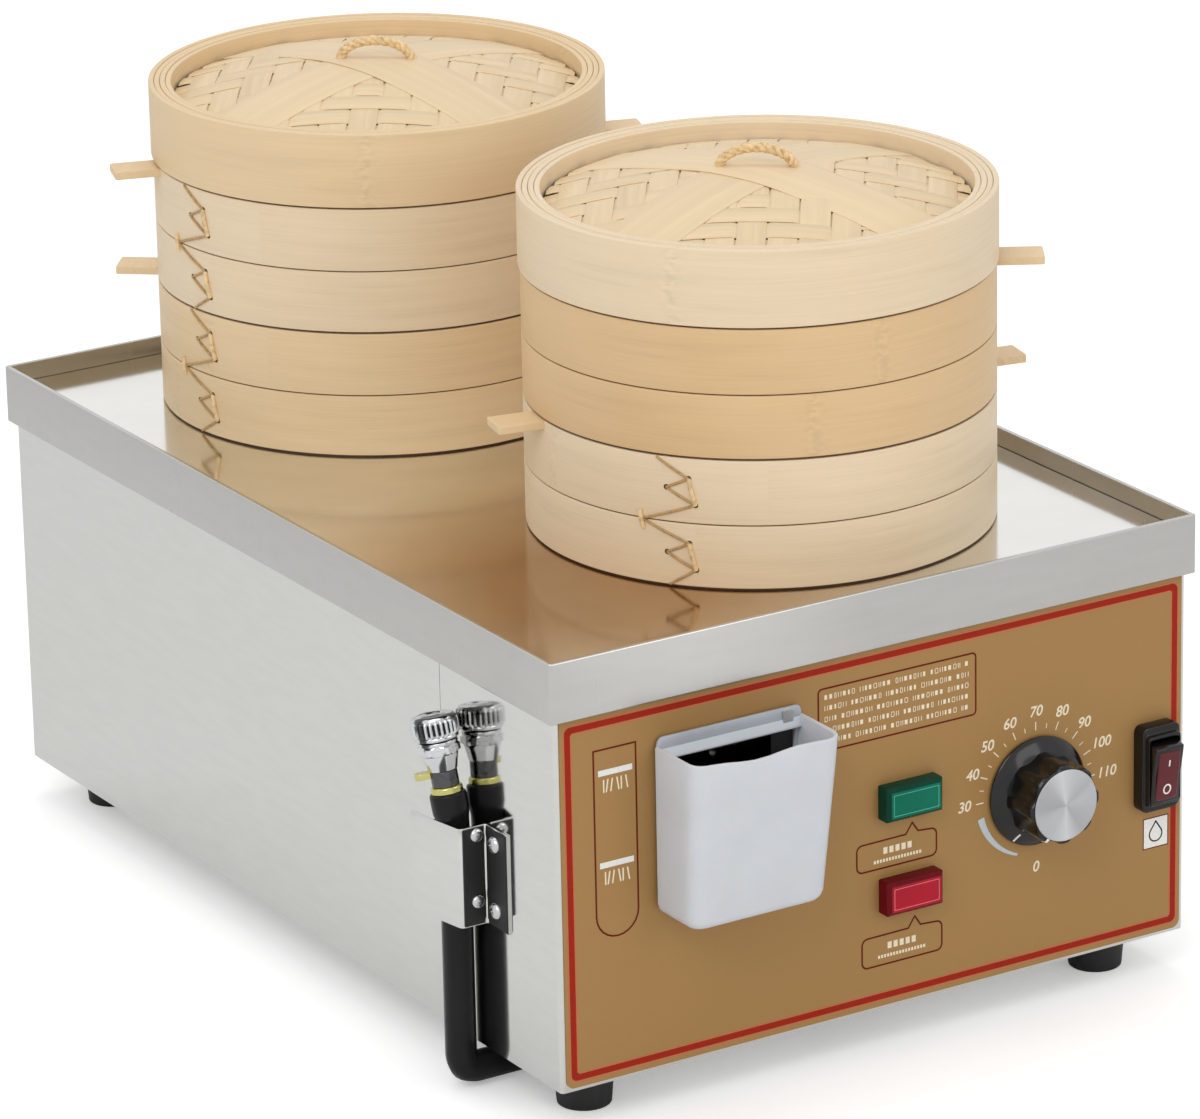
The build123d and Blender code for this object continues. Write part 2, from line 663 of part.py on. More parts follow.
# Element rests: two upright strips across the tank's floor, notched for every leg
with BuildPart() as element_rests:
    for rest_y in REST_YS:
        with BuildSketch(Plane.XZ.offset(-rest_y)):
            with Locations((REST_LEFT, TANK_LOW + SHEET)):
                Rectangle(
                    REST_RIGHT - REST_LEFT,
                    ELEMENT_Z - TANK_LOW - SHEET,
                    align=(Align.MIN, Align.MIN),
                )
            with Locations(*[(leg, ELEMENT_Z) for leg in ELEMENT_LEGS]):
                Rectangle(2 * ELEMENT_RADIUS, 2 * ELEMENT_RADIUS, mode=Mode.SUBTRACT)
            with Locations((PROBE_X, ELEMENT_Z)):
                Rectangle(2 * PROBE_RADIUS, 2 * PROBE_RADIUS, mode=Mode.SUBTRACT)
        extrude(amount=REST_SHEET / 2, both=True)
element_rests.part.label = "element_rests"
export_step(element_rests.part, "parts/element_rests.step")

# Thermostat body: the box behind the panel, with the bush that the spindle turns in
with BuildPart() as thermostat_body:
    with BuildSketch(FRONT.offset(-SHEET)):
        with Locations((KNOB_X, KNOB_Z)):
            Rectangle(THERMOSTAT_SIZE, THERMOSTAT_SIZE)
    extrude(amount=-THERMOSTAT_DEPTH)
    with BuildSketch(FRONT.offset(-SHEET)):
        with Locations((KNOB_X, KNOB_Z)):
            RegularPolygon(BUSH_RADIUS, TUBE_FLATS)
    extrude(amount=SHEET + BUSH_OUT)
    with BuildSketch(FRONT.offset(BUSH_OUT)):
        with Locations((KNOB_X, KNOB_Z)):
            RegularPolygon(SPINDLE_RADIUS + RUNNING_GAP, BORE_FLATS, major_radius=False)
    extrude(amount=-BUSH_OUT - SPINDLE_IN - FIT_GAP, mode=Mode.SUBTRACT)
thermostat_body.part.label = "thermostat_body"
export_step(thermostat_body.part, "parts/thermostat_body.step")

# Thermostat nut: thin nut that clamps the bush to the fascia, under the knob
with BuildPart() as thermostat_nut:
    with BuildSketch(FASCIA):
        with Locations((KNOB_X, KNOB_Z)):
            RegularPolygon(BUSH_NUT_RADIUS, 6)
            RegularPolygon(BUSH_RADIUS + FIT_GAP, TUBE_FLATS, mode=Mode.SUBTRACT)
    extrude(amount=BUSH_NUT_HEIGHT)
thermostat_nut.part.label = "thermostat_nut"
export_step(thermostat_nut.part, "parts/thermostat_nut.step")

# Thermostat probe: bulb in the water, with the capillary back to the thermostat
probe_route = [
    (KNOB_X + THERMOSTAT_SIZE / 2, CAPILLARY_Y, ELEMENT_Z),
    (PROBE_X, CAPILLARY_Y, ELEMENT_Z),
    (PROBE_X, PROBE_FRONT, ELEMENT_Z),
]
with BuildPart() as thermostat_probe:
    with BuildLine():
        Polyline(*stepped_route(probe_route, CAPILLARY_BEND))
    with BuildSketch(Plane.YZ.offset(KNOB_X + THERMOSTAT_SIZE / 2)):
        with Locations((CAPILLARY_Y, ELEMENT_Z)):
            RegularPolygon(CAPILLARY_RADIUS, 8)
    sweep(transition=Transition.RIGHT)
    with BuildSketch(Plane.XZ.offset(-PROBE_FRONT)):
        with Locations((PROBE_X, ELEMENT_Z)):
            RegularPolygon(PROBE_RADIUS, TUBE_FLATS)
    extrude(amount=PROBE_FRONT - PROBE_BACK)
thermostat_probe.part.label = "thermostat_probe"
export_step(thermostat_probe.part, "parts/thermostat_probe.step")

# Thermostat knob: a round skirt and an eight-lobed grip on one axis
skirt_out = FASCIA_SHEET + KNOB_GAP
with BuildPart() as thermostat_knob:
    with BuildSketch(FRONT.offset(skirt_out)):
        with Locations((KNOB_X, KNOB_Z)):
            RegularPolygon(SKIRT_RADIUS, KNOB_FLATS)
    extrude(amount=SKIRT_THICKNESS)
    with BuildSketch(FRONT.offset(skirt_out)):
        with Locations((KNOB_X, KNOB_Z)):
            RegularPolygon(GRIP_RADIUS, KNOB_FLATS)
            with PolarLocations(LOBE_CENTRE, GRIP_LOBES, start_angle=180 / GRIP_LOBES):
                RegularPolygon(LOBE_RADIUS, LOBE_FLATS, mode=Mode.SUBTRACT)
    extrude(amount=GRIP_OUT - skirt_out)
    with BuildSketch(FRONT.offset(skirt_out)):
        with Locations((KNOB_X, KNOB_Z)):
            RegularPolygon(HOLLOW_RADIUS, TUBE_FLATS)
    extrude(amount=HOLLOW_DEPTH, mode=Mode.SUBTRACT)
    with BuildSketch(FRONT.offset(skirt_out)):
        with Locations((KNOB_X, KNOB_Z)):
            RegularPolygon(SPINDLE_RADIUS + RUNNING_GAP, BORE_FLATS, major_radius=False)
    extrude(amount=SPINDLE_OUT - skirt_out, mode=Mode.SUBTRACT)
thermostat_knob.part.label = "thermostat_knob"
export_step(thermostat_knob.part, "parts/thermostat_knob.step")

# Knob cap: bright disc on the face of the knob
with BuildPart() as knob_cap:
    with BuildSketch(FRONT.offset(GRIP_OUT)):
        with Locations((KNOB_X, KNOB_Z)):
            RegularPolygon(CAP_RADIUS, KNOB_FLATS)
    extrude(amount=CAP_THICKNESS)
knob_cap.part.label = "knob_cap"
export_step(knob_cap.part, "parts/knob_cap.step")

# Thermostat spindle: turns in the bush and carries the knob
with BuildPart() as thermostat_spindle:
    with BuildSketch(FRONT.offset(SPINDLE_OUT)):
        with Locations((KNOB_X, KNOB_Z)):
            Circle(SPINDLE_RADIUS)
    extrude(amount=-SPINDLE_OUT - SPINDLE_IN)
thermostat_spindle.part.label = "thermostat_spindle"
export_step(thermostat_spindle.part, "parts/thermostat_spindle.step")


def rocker_front(half, depth):
    """Draw the shallow V of the rocker's face as a band of the given depth."""
    slope = (ROCKER_END_REACH - ROCKER_MIDDLE_REACH) / ROCKER_SWING
    reach = ROCKER_MIDDLE_REACH + slope * half
    Polygon(
        (ROCKER_MIDDLE_REACH, 0),
        (reach, half),
        (reach - depth, half),
        (ROCKER_MIDDLE_REACH - depth, 0),
        (reach - depth, -half),
        (reach, -half),
        align=None,
    )


# Switch housing: a stepped frame on the fascia, with the cavity that the rocker swings in
with BuildPart() as switch_housing:
    with BuildSketch(FASCIA):
        with Locations((SWITCH_X, SWITCH_Z)):
            RectangleRounded(SWITCH_WIDTH, SWITCH_HEIGHT, SWITCH_CORNER)
    extrude(amount=FRAME_OUT - FASCIA_SHEET)
    with BuildSketch(FRONT.offset(FRAME_OUT)):
        with Locations((SWITCH_X, SWITCH_Z)):
            Rectangle(COLLAR_WIDTH, COLLAR_HEIGHT)
    extrude(amount=COLLAR_OUT - FRAME_OUT)
    with BuildSketch(FASCIA):
        with Locations((SWITCH_X, SWITCH_Z)):
            Rectangle(COLLAR_WIDTH - FIT_GAP, COLLAR_HEIGHT - FIT_GAP)
    extrude(amount=-SWITCH_DEPTH)
    with BuildSketch(FRONT.offset(COLLAR_OUT)):
        with Locations((SWITCH_X, ROCKER_Z)):
            Rectangle(ROCKER_WIDTH + 2 * ROCKER_GAP, 2 * (ROCKER_SWING + ROCKER_GAP))
    extrude(amount=PIVOT_OUT - CAVITY_BACK - COLLAR_OUT, mode=Mode.SUBTRACT)
    with BuildSketch(Plane.YZ.offset(SWITCH_X)):
        with Locations(PIVOT[1:]):
            RegularPolygon(TRUNNION_RADIUS + RUNNING_GAP, BORE_FLATS, major_radius=False)
    extrude(
        amount=ROCKER_WIDTH / 2 + TRUNNION_LENGTH + RUNNING_GAP, both=True, mode=Mode.SUBTRACT
    )
    with BuildSketch(FASCIA.offset(-SWITCH_DEPTH)):
        with Locations((SWITCH_X, SWITCH_Z)):
            with GridLocations(0, COLLAR_HEIGHT / 2, 1, 2):
                Rectangle(TAB_WIDTH, TAB_THICKNESS)
    extrude(amount=-TAB_LENGTH)
switch_housing.part.label = "switch_housing"
export_step(switch_housing.part, "parts/switch_housing.step")

# Rocker, drawn across its pivot with its lower end pressed in, and with two trunnions
rocker_plane = Plane(
    origin=PIVOT,
    x_dir=(0, -cos(radians(ROCKER_TILT)), -sin(radians(ROCKER_TILT))),
    z_dir=(-1, 0, 0),
)
with BuildPart() as switch_rocker:
    with BuildSketch(rocker_plane):
        Circle(ROCKER_SWING)
        with Locations((-ROCKER_BACK, 0)):
            Rectangle(
                ROCKER_SWING, 2 * ROCKER_SWING, align=(Align.MAX, Align.CENTER), mode=Mode.SUBTRACT
            )
        with Locations((ROCKER_END_REACH, 0)):
            Rectangle(
                ROCKER_SWING, 2 * ROCKER_SWING, align=(Align.MIN, Align.CENTER), mode=Mode.SUBTRACT
            )
        Polygon(
            (ROCKER_MIDDLE_REACH, 0),
            (ROCKER_END_REACH, ROCKER_SWING),
            (ROCKER_END_REACH, -ROCKER_SWING),
            align=None,
            mode=Mode.SUBTRACT,
        )
    extrude(amount=ROCKER_WIDTH / 2, both=True)
    with BuildSketch(rocker_plane):
        rocker_front(WINDOW_HALF, WINDOW_DEPTH)
    extrude(amount=WINDOW_WIDTH / 2, both=True, mode=Mode.SUBTRACT)
    with BuildSketch(rocker_plane):
        Circle(TRUNNION_RADIUS)
    extrude(amount=ROCKER_WIDTH / 2 + TRUNNION_LENGTH, both=True)
switch_rocker.part.label = "switch_rocker"
export_step(switch_rocker.part, "parts/switch_rocker.step")

# Rocker window: dark translucent strip let into the rocker's face
with BuildPart() as rocker_window:
    with BuildSketch(rocker_plane):
        rocker_front(WINDOW_HALF, WINDOW_DEPTH)
    extrude(amount=WINDOW_WIDTH / 2, both=True)
rocker_window.part.label = "rocker_window"
export_step(rocker_window.part, "parts/rocker_window.step")


def lamp_lens(height):
    """Make one lamp's lens: a bevelled cap with a dished face, hollow behind."""
    with BuildPart() as lens:
        with BuildSketch(FASCIA):
            with Locations((LAMP_X, height)):
                Rectangle(LENS_WIDTH, LENS_HEIGHT)
        extrude(amount=LENS_REACH)
        chamfer(lens.faces().sort_by(Axis.Y)[0].edges(), length=LENS_BEVEL)
        with BuildSketch(FASCIA.offset(LENS_REACH)):
            with Locations((LAMP_X, height)):
                Rectangle(LENS_WIDTH - 4 * LENS_BEVEL, LENS_HEIGHT - 4 * LENS_BEVEL)
        extrude(amount=-LENS_DISH, mode=Mode.SUBTRACT)
        with BuildSketch(FASCIA):
            with Locations((LAMP_X, height)):
                Rectangle(LENS_WIDTH - 2 * LENS_WALL, LENS_HEIGHT - 2 * LENS_WALL)
        extrude(amount=LENS_REACH - LENS_DISH - LENS_WALL, mode=Mode.SUBTRACT)
    return lens.part


def lamp_body(height):
    """Make one lamp's body: the box behind the panel, its bulb and two tabs."""
    with BuildPart() as body:
        with BuildSketch(FASCIA):
            with Locations((LAMP_X, height)):
                Rectangle(
                    LENS_WIDTH - 2 * LENS_WALL - FIT_GAP, LENS_HEIGHT - 2 * LENS_WALL - FIT_GAP
                )
        extrude(amount=-LAMP_DEPTH)
        with BuildSketch(FASCIA):
            with Locations((LAMP_X, height)):
                RegularPolygon(BULB_RADIUS, 8)
        extrude(amount=BULB_REACH)
        with BuildSketch(FASCIA.offset(-LAMP_DEPTH)):
            with Locations((LAMP_X, height)):
                with GridLocations(LENS_WIDTH / 2, 0, 2, 1):
                    Rectangle(TAB_WIDTH, TAB_THICKNESS)
        extrude(amount=-TAB_LENGTH)
    return body.part


# Signal lamps: the green one shows power, the red one heating
for lamp_name, lamp_height in LAMP_Z.items():
    lens = lamp_lens(lamp_height)
    lens.label = f"{lamp_name}_lamp_lens"
    export_step(lens, f"parts/{lens.label}.step")
    body = lamp_body(lamp_height)
    body.label = f"{lamp_name}_lamp_body"
    export_step(body, f"parts/{body.label}.step")

# Drain outlet: spigot under the tank's floor, with a hexagonal flange
with BuildPart() as drain_outlet:
    with BuildSketch(Plane.XY.offset(TANK_LOW)):
        with Locations((OUTLET_X, HOSE_Y)):
            RegularPolygon(OUTLET_FLANGE, 6)
    extrude(amount=-OUTLET_FLANGE_HEIGHT)
    with BuildSketch(Plane.XY.offset(TANK_LOW)):
        with Locations((OUTLET_X, HOSE_Y)):
            RegularPolygon(OUTLET_RADIUS, TUBE_FLATS)
    extrude(amount=OUTLET_LOW - TANK_LOW)
    with BuildSketch(Plane.XY.offset(TANK_LOW)):
        with Locations((OUTLET_X, HOSE_Y)):
            RegularPolygon(OUTLET_BORE, TUBE_FLATS)
    extrude(amount=OUTLET_LOW - TANK_LOW, mode=Mode.SUBTRACT)
drain_outlet.part.label = "drain_outlet"
export_step(drain_outlet.part, "parts/drain_outlet.step")

# Drain hose: down from the outlet, along under the base, then up the left side, with
# a pocket for the spigot, and a cuff with a pocket for the tail of the valve
hose_end = Vector(*VALVE_BASE) + Vector(*VALVE_AXIS) * TAIL_HIGH
with BuildPart() as drain_hose:
    with BuildLine():
        Polyline(
            *stepped_route(
                [
                    (OUTLET_X, HOSE_Y, HOSE_ENTRY),
                    (OUTLET_X, HOSE_Y, HOSE_RUN_Z),
                    (HOSE_X, HOSE_Y, HOSE_RUN_Z),
                    VALVE_BASE,
                ],
                HOSE_BEND,
            ),
            hose_end,
        )
    with BuildSketch(Plane.XY.offset(HOSE_ENTRY)):
        with Locations((OUTLET_X, HOSE_Y)):
            RegularPolygon(HOSE_RADIUS, HOSE_FLATS)
    sweep(transition=Transition.RIGHT)
    with BuildSketch(VALVE.offset(CUFF_LOW)):
        RegularPolygon(CUFF_RADIUS, HOSE_FLATS)
    extrude(amount=TAIL_HIGH - CUFF_LOW)
    with BuildSketch(VALVE.offset(TAIL_LOW)):
        RegularPolygon(HOSE_BORE, TUBE_FLATS)
    extrude(amount=TAIL_HIGH - TAIL_LOW, mode=Mode.SUBTRACT)
    with BuildSketch(Plane.XY.offset(HOSE_ENTRY)):
        with Locations((OUTLET_X, HOSE_Y)):
            RegularPolygon(HOSE_BORE, TUBE_FLATS)
    extrude(amount=OUTLET_LOW - HOSE_ENTRY, mode=Mode.SUBTRACT)
drain_hose.part.label = "drain_hose"
export_step(drain_hose.part, "parts/drain_hose.step")

# Hose clamp: band round the hose on the spigot, with the housing of its screw
with BuildPart() as hose_clamp:
    with BuildSketch(Plane.XY.offset(CLAMP_LOW)):
        with Locations((OUTLET_X, HOSE_Y)):
            RegularPolygon(HOSE_RADIUS + FIT_GAP + CLAMP_BAND, HOSE_FLATS)
        with Locations((OUTLET_X, HOSE_Y + HOSE_RADIUS)):
            Rectangle(CLAMP_HOUSING, CLAMP_HOUSING, align=(Align.CENTER, Align.MIN))
        with Locations((OUTLET_X, HOSE_Y)):
            RegularPolygon(HOSE_RADIUS + FIT_GAP, HOSE_FLATS, mode=Mode.SUBTRACT)
    extrude(amount=CLAMP_WIDTH)
hose_clamp.part.label = "hose_clamp"
export_step(hose_clamp.part, "parts/hose_clamp.step")

# Valve ferrule: brass sleeve above the hose, with a thumb tab
with BuildPart() as valve_ferrule:
    with BuildSketch(VALVE.offset(TAIL_HIGH)):
        RegularPolygon(FERRULE_RADIUS, FLUTES)
    extrude(amount=FERRULE_TOP - TAIL_HIGH)
    with BuildSketch(VALVE.offset(FERRULE_TOP)):
        Rectangle(THUMB_REACH, THUMB_WIDTH, align=(Align.MIN, Align.CENTER))
    extrude(amount=-THUMB_HEIGHT)
    with BuildSketch(VALVE.offset(TAIL_HIGH)):
        RegularPolygon(FERRULE_CORE + FIT_GAP, FLUTES)
    extrude(amount=FERRULE_TOP - TAIL_HIGH, mode=Mode.SUBTRACT)
valve_ferrule.part.label = "valve_ferrule"
export_step(valve_ferrule.part, "parts/valve_ferrule.step")

# Valve body: cone, hose tail, core, hexagon, bonnet and the stem of the tap
with BuildPart() as valve_body:
    with BuildSketch(VALVE.offset(FERRULE_TOP)):
        RegularPolygon(CONE_RADIUS, FLUTES)
    extrude(amount=CONE_TOP - FERRULE_TOP)
    cone_foot = valve_body.faces().sort_by(Axis.Z)[0]
    chamfer(cone_foot.edges(), length=CONE_NARROWING, length2=CONE_SLOPE, reference=cone_foot)
    with BuildSketch(VALVE.offset(TAIL_LOW)):
        RegularPolygon(OUTLET_RADIUS, TUBE_FLATS)
    extrude(amount=TAIL_HIGH - TAIL_LOW)
    with BuildSketch(VALVE.offset(TAIL_HIGH)):
        RegularPolygon(FERRULE_CORE, FLUTES)
    extrude(amount=FERRULE_TOP - TAIL_HIGH)
    with BuildSketch(VALVE.offset(CONE_TOP)):
        RegularPolygon(HEX_RADIUS, 6)
    extrude(amount=HEX_TOP - CONE_TOP)
    with BuildSketch(VALVE.offset(HEX_TOP)):
        RegularPolygon(BONNET_RADIUS, FLUTES)
    extrude(amount=BONNET_TOP - HEX_TOP)
    with BuildSketch(VALVE.offset(BONNET_TOP)):
        Circle(STEM_RADIUS)
    extrude(amount=STEM_TOP - BONNET_TOP)
valve_body.part.label = "valve_body"
export_step(valve_body.part, "parts/valve_body.step")

# Valve knob: fluted knob that turns on the stem
with BuildPart() as valve_knob:
    with BuildSketch(VALVE.offset(TAP_LOW)):
        Circle(TAP_RADIUS)
        with PolarLocations(TAP_RADIUS, FLUTES):
            RegularPolygon(FLUTE_RADIUS, 4, mode=Mode.SUBTRACT)
    extrude(amount=TAP_TOP - TAP_CROWN - TAP_LOW)
    with BuildSketch(VALVE.offset(TAP_TOP - TAP_CROWN)):
        RegularPolygon(TAP_RADIUS - FLUTE_RADIUS, FLUTES)
    extrude(amount=TAP_CROWN)
    with BuildSketch(VALVE.offset(TAP_LOW)):
        RegularPolygon(STEM_RADIUS + RUNNING_GAP, BORE_FLATS, major_radius=False)
    extrude(amount=STEM_TOP + RUNNING_GAP - TAP_LOW, mode=Mode.SUBTRACT)
valve_knob.part.label = "valve_knob"
export_step(valve_knob.part, "parts/valve_knob.step")

# Hose bracket: one sheet bent out from the side and round the front of the hose
with BuildPart() as hose_bracket:
    with BuildSketch(Plane.XY.offset(BRACKET_LOW)):
        with BuildLine():
            Polyline(
                (LEFT_X, BRACKET_FOOT_Y),
                (LEFT_X, BRACKET_Y),
                (LEFT_X - BRACKET_REACH, BRACKET_Y),
                (LEFT_X - BRACKET_END_REACH, BRACKET_END_Y),
            )
            offset(amount=BRACKET_SHEET, side=Side.LEFT)
        make_face()
    extrude(amount=BRACKET_HIGH - BRACKET_LOW)
hose_bracket.part.label = "hose_bracket"
export_step(hose_bracket.part, "parts/hose_bracket.step")

# Cable gland: tapered cap and hexagon outside the rear wall, lock nut inside it
with BuildPart() as cable_gland:
    with BuildSketch(REAR.offset(GLAND_HEX_HEIGHT)):
        with Locations((-GLAND_X, GLAND_Z)):
            RegularPolygon(GLAND_CAP_RADIUS, HOSE_FLATS)
    extrude(amount=GLAND_CAP_HEIGHT)
    cap_end = cable_gland.faces().sort_by(Axis.Y)[-1]
    chamfer(cap_end.edges(), length=GLAND_NARROWING, length2=GLAND_SLOPE, reference=cap_end)
    with BuildSketch(REAR):
        with Locations((-GLAND_X, GLAND_Z)):
            RegularPolygon(GLAND_HEX, 6)
    extrude(amount=GLAND_HEX_HEIGHT)
    with BuildSketch(REAR):
        with Locations((-GLAND_X, GLAND_Z)):
            RegularPolygon(GLAND_RADIUS, TUBE_FLATS)
    extrude(amount=-SHEET)
    with BuildSketch(REAR.offset(-SHEET)):
        with Locations((-GLAND_X, GLAND_Z)):
            RegularPolygon(GLAND_HEX, 6)
    extrude(amount=-GLAND_NUT_HEIGHT)
    with BuildSketch(REAR.offset(GLAND_HEX_HEIGHT + GLAND_CAP_HEIGHT)):
        with Locations((-GLAND_X, GLAND_Z)):
            RegularPolygon(GLAND_BORE, TUBE_FLATS)
    extrude(
        amount=-GLAND_HEX_HEIGHT - GLAND_CAP_HEIGHT - SHEET - GLAND_NUT_HEIGHT,
        mode=Mode.SUBTRACT,
    )
cable_gland.part.label = "cable_gland"
export_step(cable_gland.part, "parts/cable_gland.step")

# Terminal block: three wire towers on one foot, on the tray behind the controls
with BuildPart() as terminal_block:
    with BuildSketch(Plane.XY.offset(BODY_LOW + SHEET)):
        with Locations((BLOCK_X, BLOCK_Y)):
            Rectangle(BLOCK_WIDTH, BLOCK_DEPTH)
    extrude(amount=BLOCK_HEIGHT)
    with BuildSketch(Plane.XY.offset(BODY_LOW + SHEET + BLOCK_HEIGHT)):
        with Locations((BLOCK_X, BLOCK_Y)):
            with GridLocations(BLOCK_PITCH, 0, 3, 1):
                Rectangle(BLOCK_TOWER, BLOCK_DEPTH)
    extrude(amount=BLOCK_TOWER)
terminal_block.part.label = "terminal_block"
export_step(terminal_block.part, "parts/terminal_block.step")


def chord(radius, edge):
    """Give the length of the straight line across a circle at this distance."""
    return 2 * sqrt(radius**2 - edge**2)


def cross_bars():
    """Draw the bars under the slats, cut to length by the sockets they end in."""
    for offset_x in BAR_OFFSETS:
        with Locations((offset_x, 0)):
            Rectangle(BAR_WIDTH, chord(BAR_REACH, abs(offset_x) + BAR_WIDTH / 2))


def ear_outlines(angles):
    """Draw the ears of one basket, from their roots in the wall to their tips."""
    for angle in angles:
        with PolarLocations((EAR_ROOT + EAR_TIP) / 2, 1, start_angle=angle):
            Rectangle(EAR_TIP - EAR_ROOT, EAR_WIDTH)


def hoop_outline(radius):
    """Draw a hoop of many short flats, which keeps a large round wall light."""
    RegularPolygon(radius, HOOP_FLATS)
    RegularPolygon(BASKET_INNER, HOOP_FLATS, mode=Mode.SUBTRACT)


def upright(seat, angle):
    """Give the upright plane through a stack's axis in this direction."""
    along = (cos(radians(angle)), sin(radians(angle)), 0)
    across = (sin(radians(angle)), -cos(radians(angle)), 0)
    return Plane(seat.origin, x_dir=along, z_dir=across)


def basket_wall(seat, angles):
    """Make a basket's wall of two bands, with sockets for the bars and ear notches."""
    with BuildPart() as wall:
        with BuildSketch(seat):
            hoop_outline(BASKET_RADIUS)
        extrude(amount=BASKET_HEIGHT)
        with BuildSketch(seat.offset(BASKET_HEIGHT / 2)):
            RegularPolygon(BASKET_RADIUS + BAND_SEAM, HOOP_FLATS)
            RegularPolygon(BASKET_RADIUS - BAND_SEAM, HOOP_FLATS, mode=Mode.SUBTRACT)
        extrude(amount=BAND_SEAM / 2, both=True, mode=Mode.SUBTRACT)
        with BuildSketch(seat.offset(BAR_LOW)):
            cross_bars()
        extrude(amount=BAR_THICKNESS, mode=Mode.SUBTRACT)
        with BuildSketch(seat.offset(BASKET_HEIGHT)):
            ear_outlines(angles)
        extrude(amount=-EAR_THICKNESS, mode=Mode.SUBTRACT)
    return wall.part


def basket_floor(seat):
    """Make a basket's floor: slats cut to the circle, lying on the cross bars."""
    with BuildPart() as bars:
        with BuildSketch(seat.offset(BAR_LOW)):
            cross_bars()
        extrude(amount=BAR_THICKNESS)
    with BuildPart() as slats:
        with BuildSketch(seat.offset(BAR_LOW + BAR_THICKNESS)):
            for place in range(SLAT_COUNT):
                offset_y = (place - (SLAT_COUNT - 1) / 2) * SLAT_PITCH
                with Locations((0, offset_y)):
                    Rectangle(chord(SLAT_REACH, abs(offset_y) + SLAT_WIDTH / 2), SLAT_WIDTH)
        extrude(amount=SLAT_THICKNESS)
    return Compound(children=[*bars.part.solids(), *slats.part.solids()])


def basket_ears(seat, angles):
    """Make the flat lugs by which a hot basket is lifted."""
    with BuildPart() as ears:
        with BuildSketch(seat.offset(BASKET_HEIGHT)):
            ear_outlines(angles)
        extrude(amount=-EAR_THICKNESS)
    return ears.part


def lid_rim(seat):
    """Make the bamboo hoop of a lid."""
    with BuildPart() as rim:
        with BuildSketch(seat):
            hoop_outline(LID_RADIUS)
        extrude(amount=LID_HEIGHT)
    return rim.part


def lid_dome(seat):
    """Make the woven dome: a thin shell that rises in two slopes to a flat crown."""
    with BuildPart() as dome:
        with BuildSketch(seat.offset(DOME_EDGE)):
            RegularPolygon(DOME_REACH, HOOP_FLATS)
        extrude(amount=-DOME_WALL)
        for depth, mode in ((0, Mode.ADD), (DOME_WALL, Mode.SUBTRACT)):
            with BuildSketch(seat.offset(DOME_EDGE - depth)):
                RegularPolygon(DOME_REACH, HOOP_FLATS)
            extrude(amount=DOME_SHOULDER, taper=DOME_LOW_SLOPE, mode=mode)
            with BuildSketch(seat.offset(DOME_EDGE + DOME_SHOULDER - depth)):
                RegularPolygon(DOME_SHOULDER_REACH, HOOP_FLATS)
            extrude(amount=DOME_CROWN - DOME_SHOULDER, taper=DOME_HIGH_SLOPE, mode=mode)
    return dome.part


def lid_straps(seat, angles):
    """Make the two flat straps that cross over the dome."""
    with BuildPart() as straps:
        for angle in angles:
            with BuildSketch(upright(seat, angle)):
                with BuildLine():
                    Polyline(
                        (-STRAP_REACH, STRAP_END),
                        (-DOME_SHOULDER_REACH, DOME_EDGE + DOME_SHOULDER),
                        (-DOME_CROWN_REACH, DOME_EDGE + DOME_CROWN),
                        (DOME_CROWN_REACH, DOME_EDGE + DOME_CROWN),
                        (DOME_SHOULDER_REACH, DOME_EDGE + DOME_SHOULDER),
                        (STRAP_REACH, STRAP_END),
                    )
                    offset(amount=STRAP_THICKNESS, side=Side.LEFT)
                make_face()
            extrude(amount=STRAP_WIDTH / 2, both=True)
    return straps.part


def handle_arch(inset):
    """Give the corners of the handle's arch, this far in from its outer edge."""
    turns = [pi * step / HANDLE_STEPS for step in range(HANDLE_STEPS + 1)]
    half = HANDLE_HALF - inset
    height = HANDLE_HEIGHT - inset
    return [(half * cos(turn), height * sin(turn)) for turn in turns]


def lid_handle(seat):
    """Make the arched handle on the crown of a lid, its arch drawn in short flats."""
    low = DOME_EDGE + DOME_CROWN + STRAP_THICKNESS
    with BuildPart() as handle:
        with BuildSketch(upright(seat, HANDLE_ANGLE)):
            with Locations((0, low)):
                Polygon(*handle_arch(0), align=None)
                Polygon(*handle_arch(HANDLE_CANE), align=None, mode=Mode.SUBTRACT)
        extrude(amount=HANDLE_CANE / 2, both=True)
    return handle.part


# Two stacks, each of a lower basket, an upper basket and a lid
for side, (centre_x, centre_y) in STACKS.items():
    pieces = {}
    for storey, level in enumerate(("lower", "upper")):
        name = f"{side}_{level}"
        seat = Plane((centre_x, centre_y, PLATE_TOP + storey * BASKET_HEIGHT))
        pieces[f"{name}_wall"] = basket_wall(seat, EARS[name])
        pieces[f"{name}_floor"] = basket_floor(seat)
        pieces[f"{name}_ears"] = basket_ears(seat, EARS[name])
    seat = Plane((centre_x, centre_y, PLATE_TOP + 2 * BASKET_HEIGHT))
    pieces[f"{side}_lid_rim"] = lid_rim(seat)
    pieces[f"{side}_lid_dome"] = lid_dome(seat)
    pieces[f"{side}_lid_straps"] = lid_straps(seat, STRAP_ANGLES[side])
    pieces[f"{side}_lid_handle"] = lid_handle(seat)
    for name, piece in pieces.items():
        piece.label = name
        export_step(piece, f"parts/{name}.step")
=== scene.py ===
"""Looks of an electric dumpling steamer: polished cabinet, printed front, bamboo baskets and
woven lids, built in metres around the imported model, on a plain studio floor."""

from math import cos, pi, radians, sin, sqrt, tau

import bmesh
import bpy
from bpy.props import FloatProperty, FloatVectorProperty, IntProperty, PointerProperty
from mathutils import Matrix, Vector


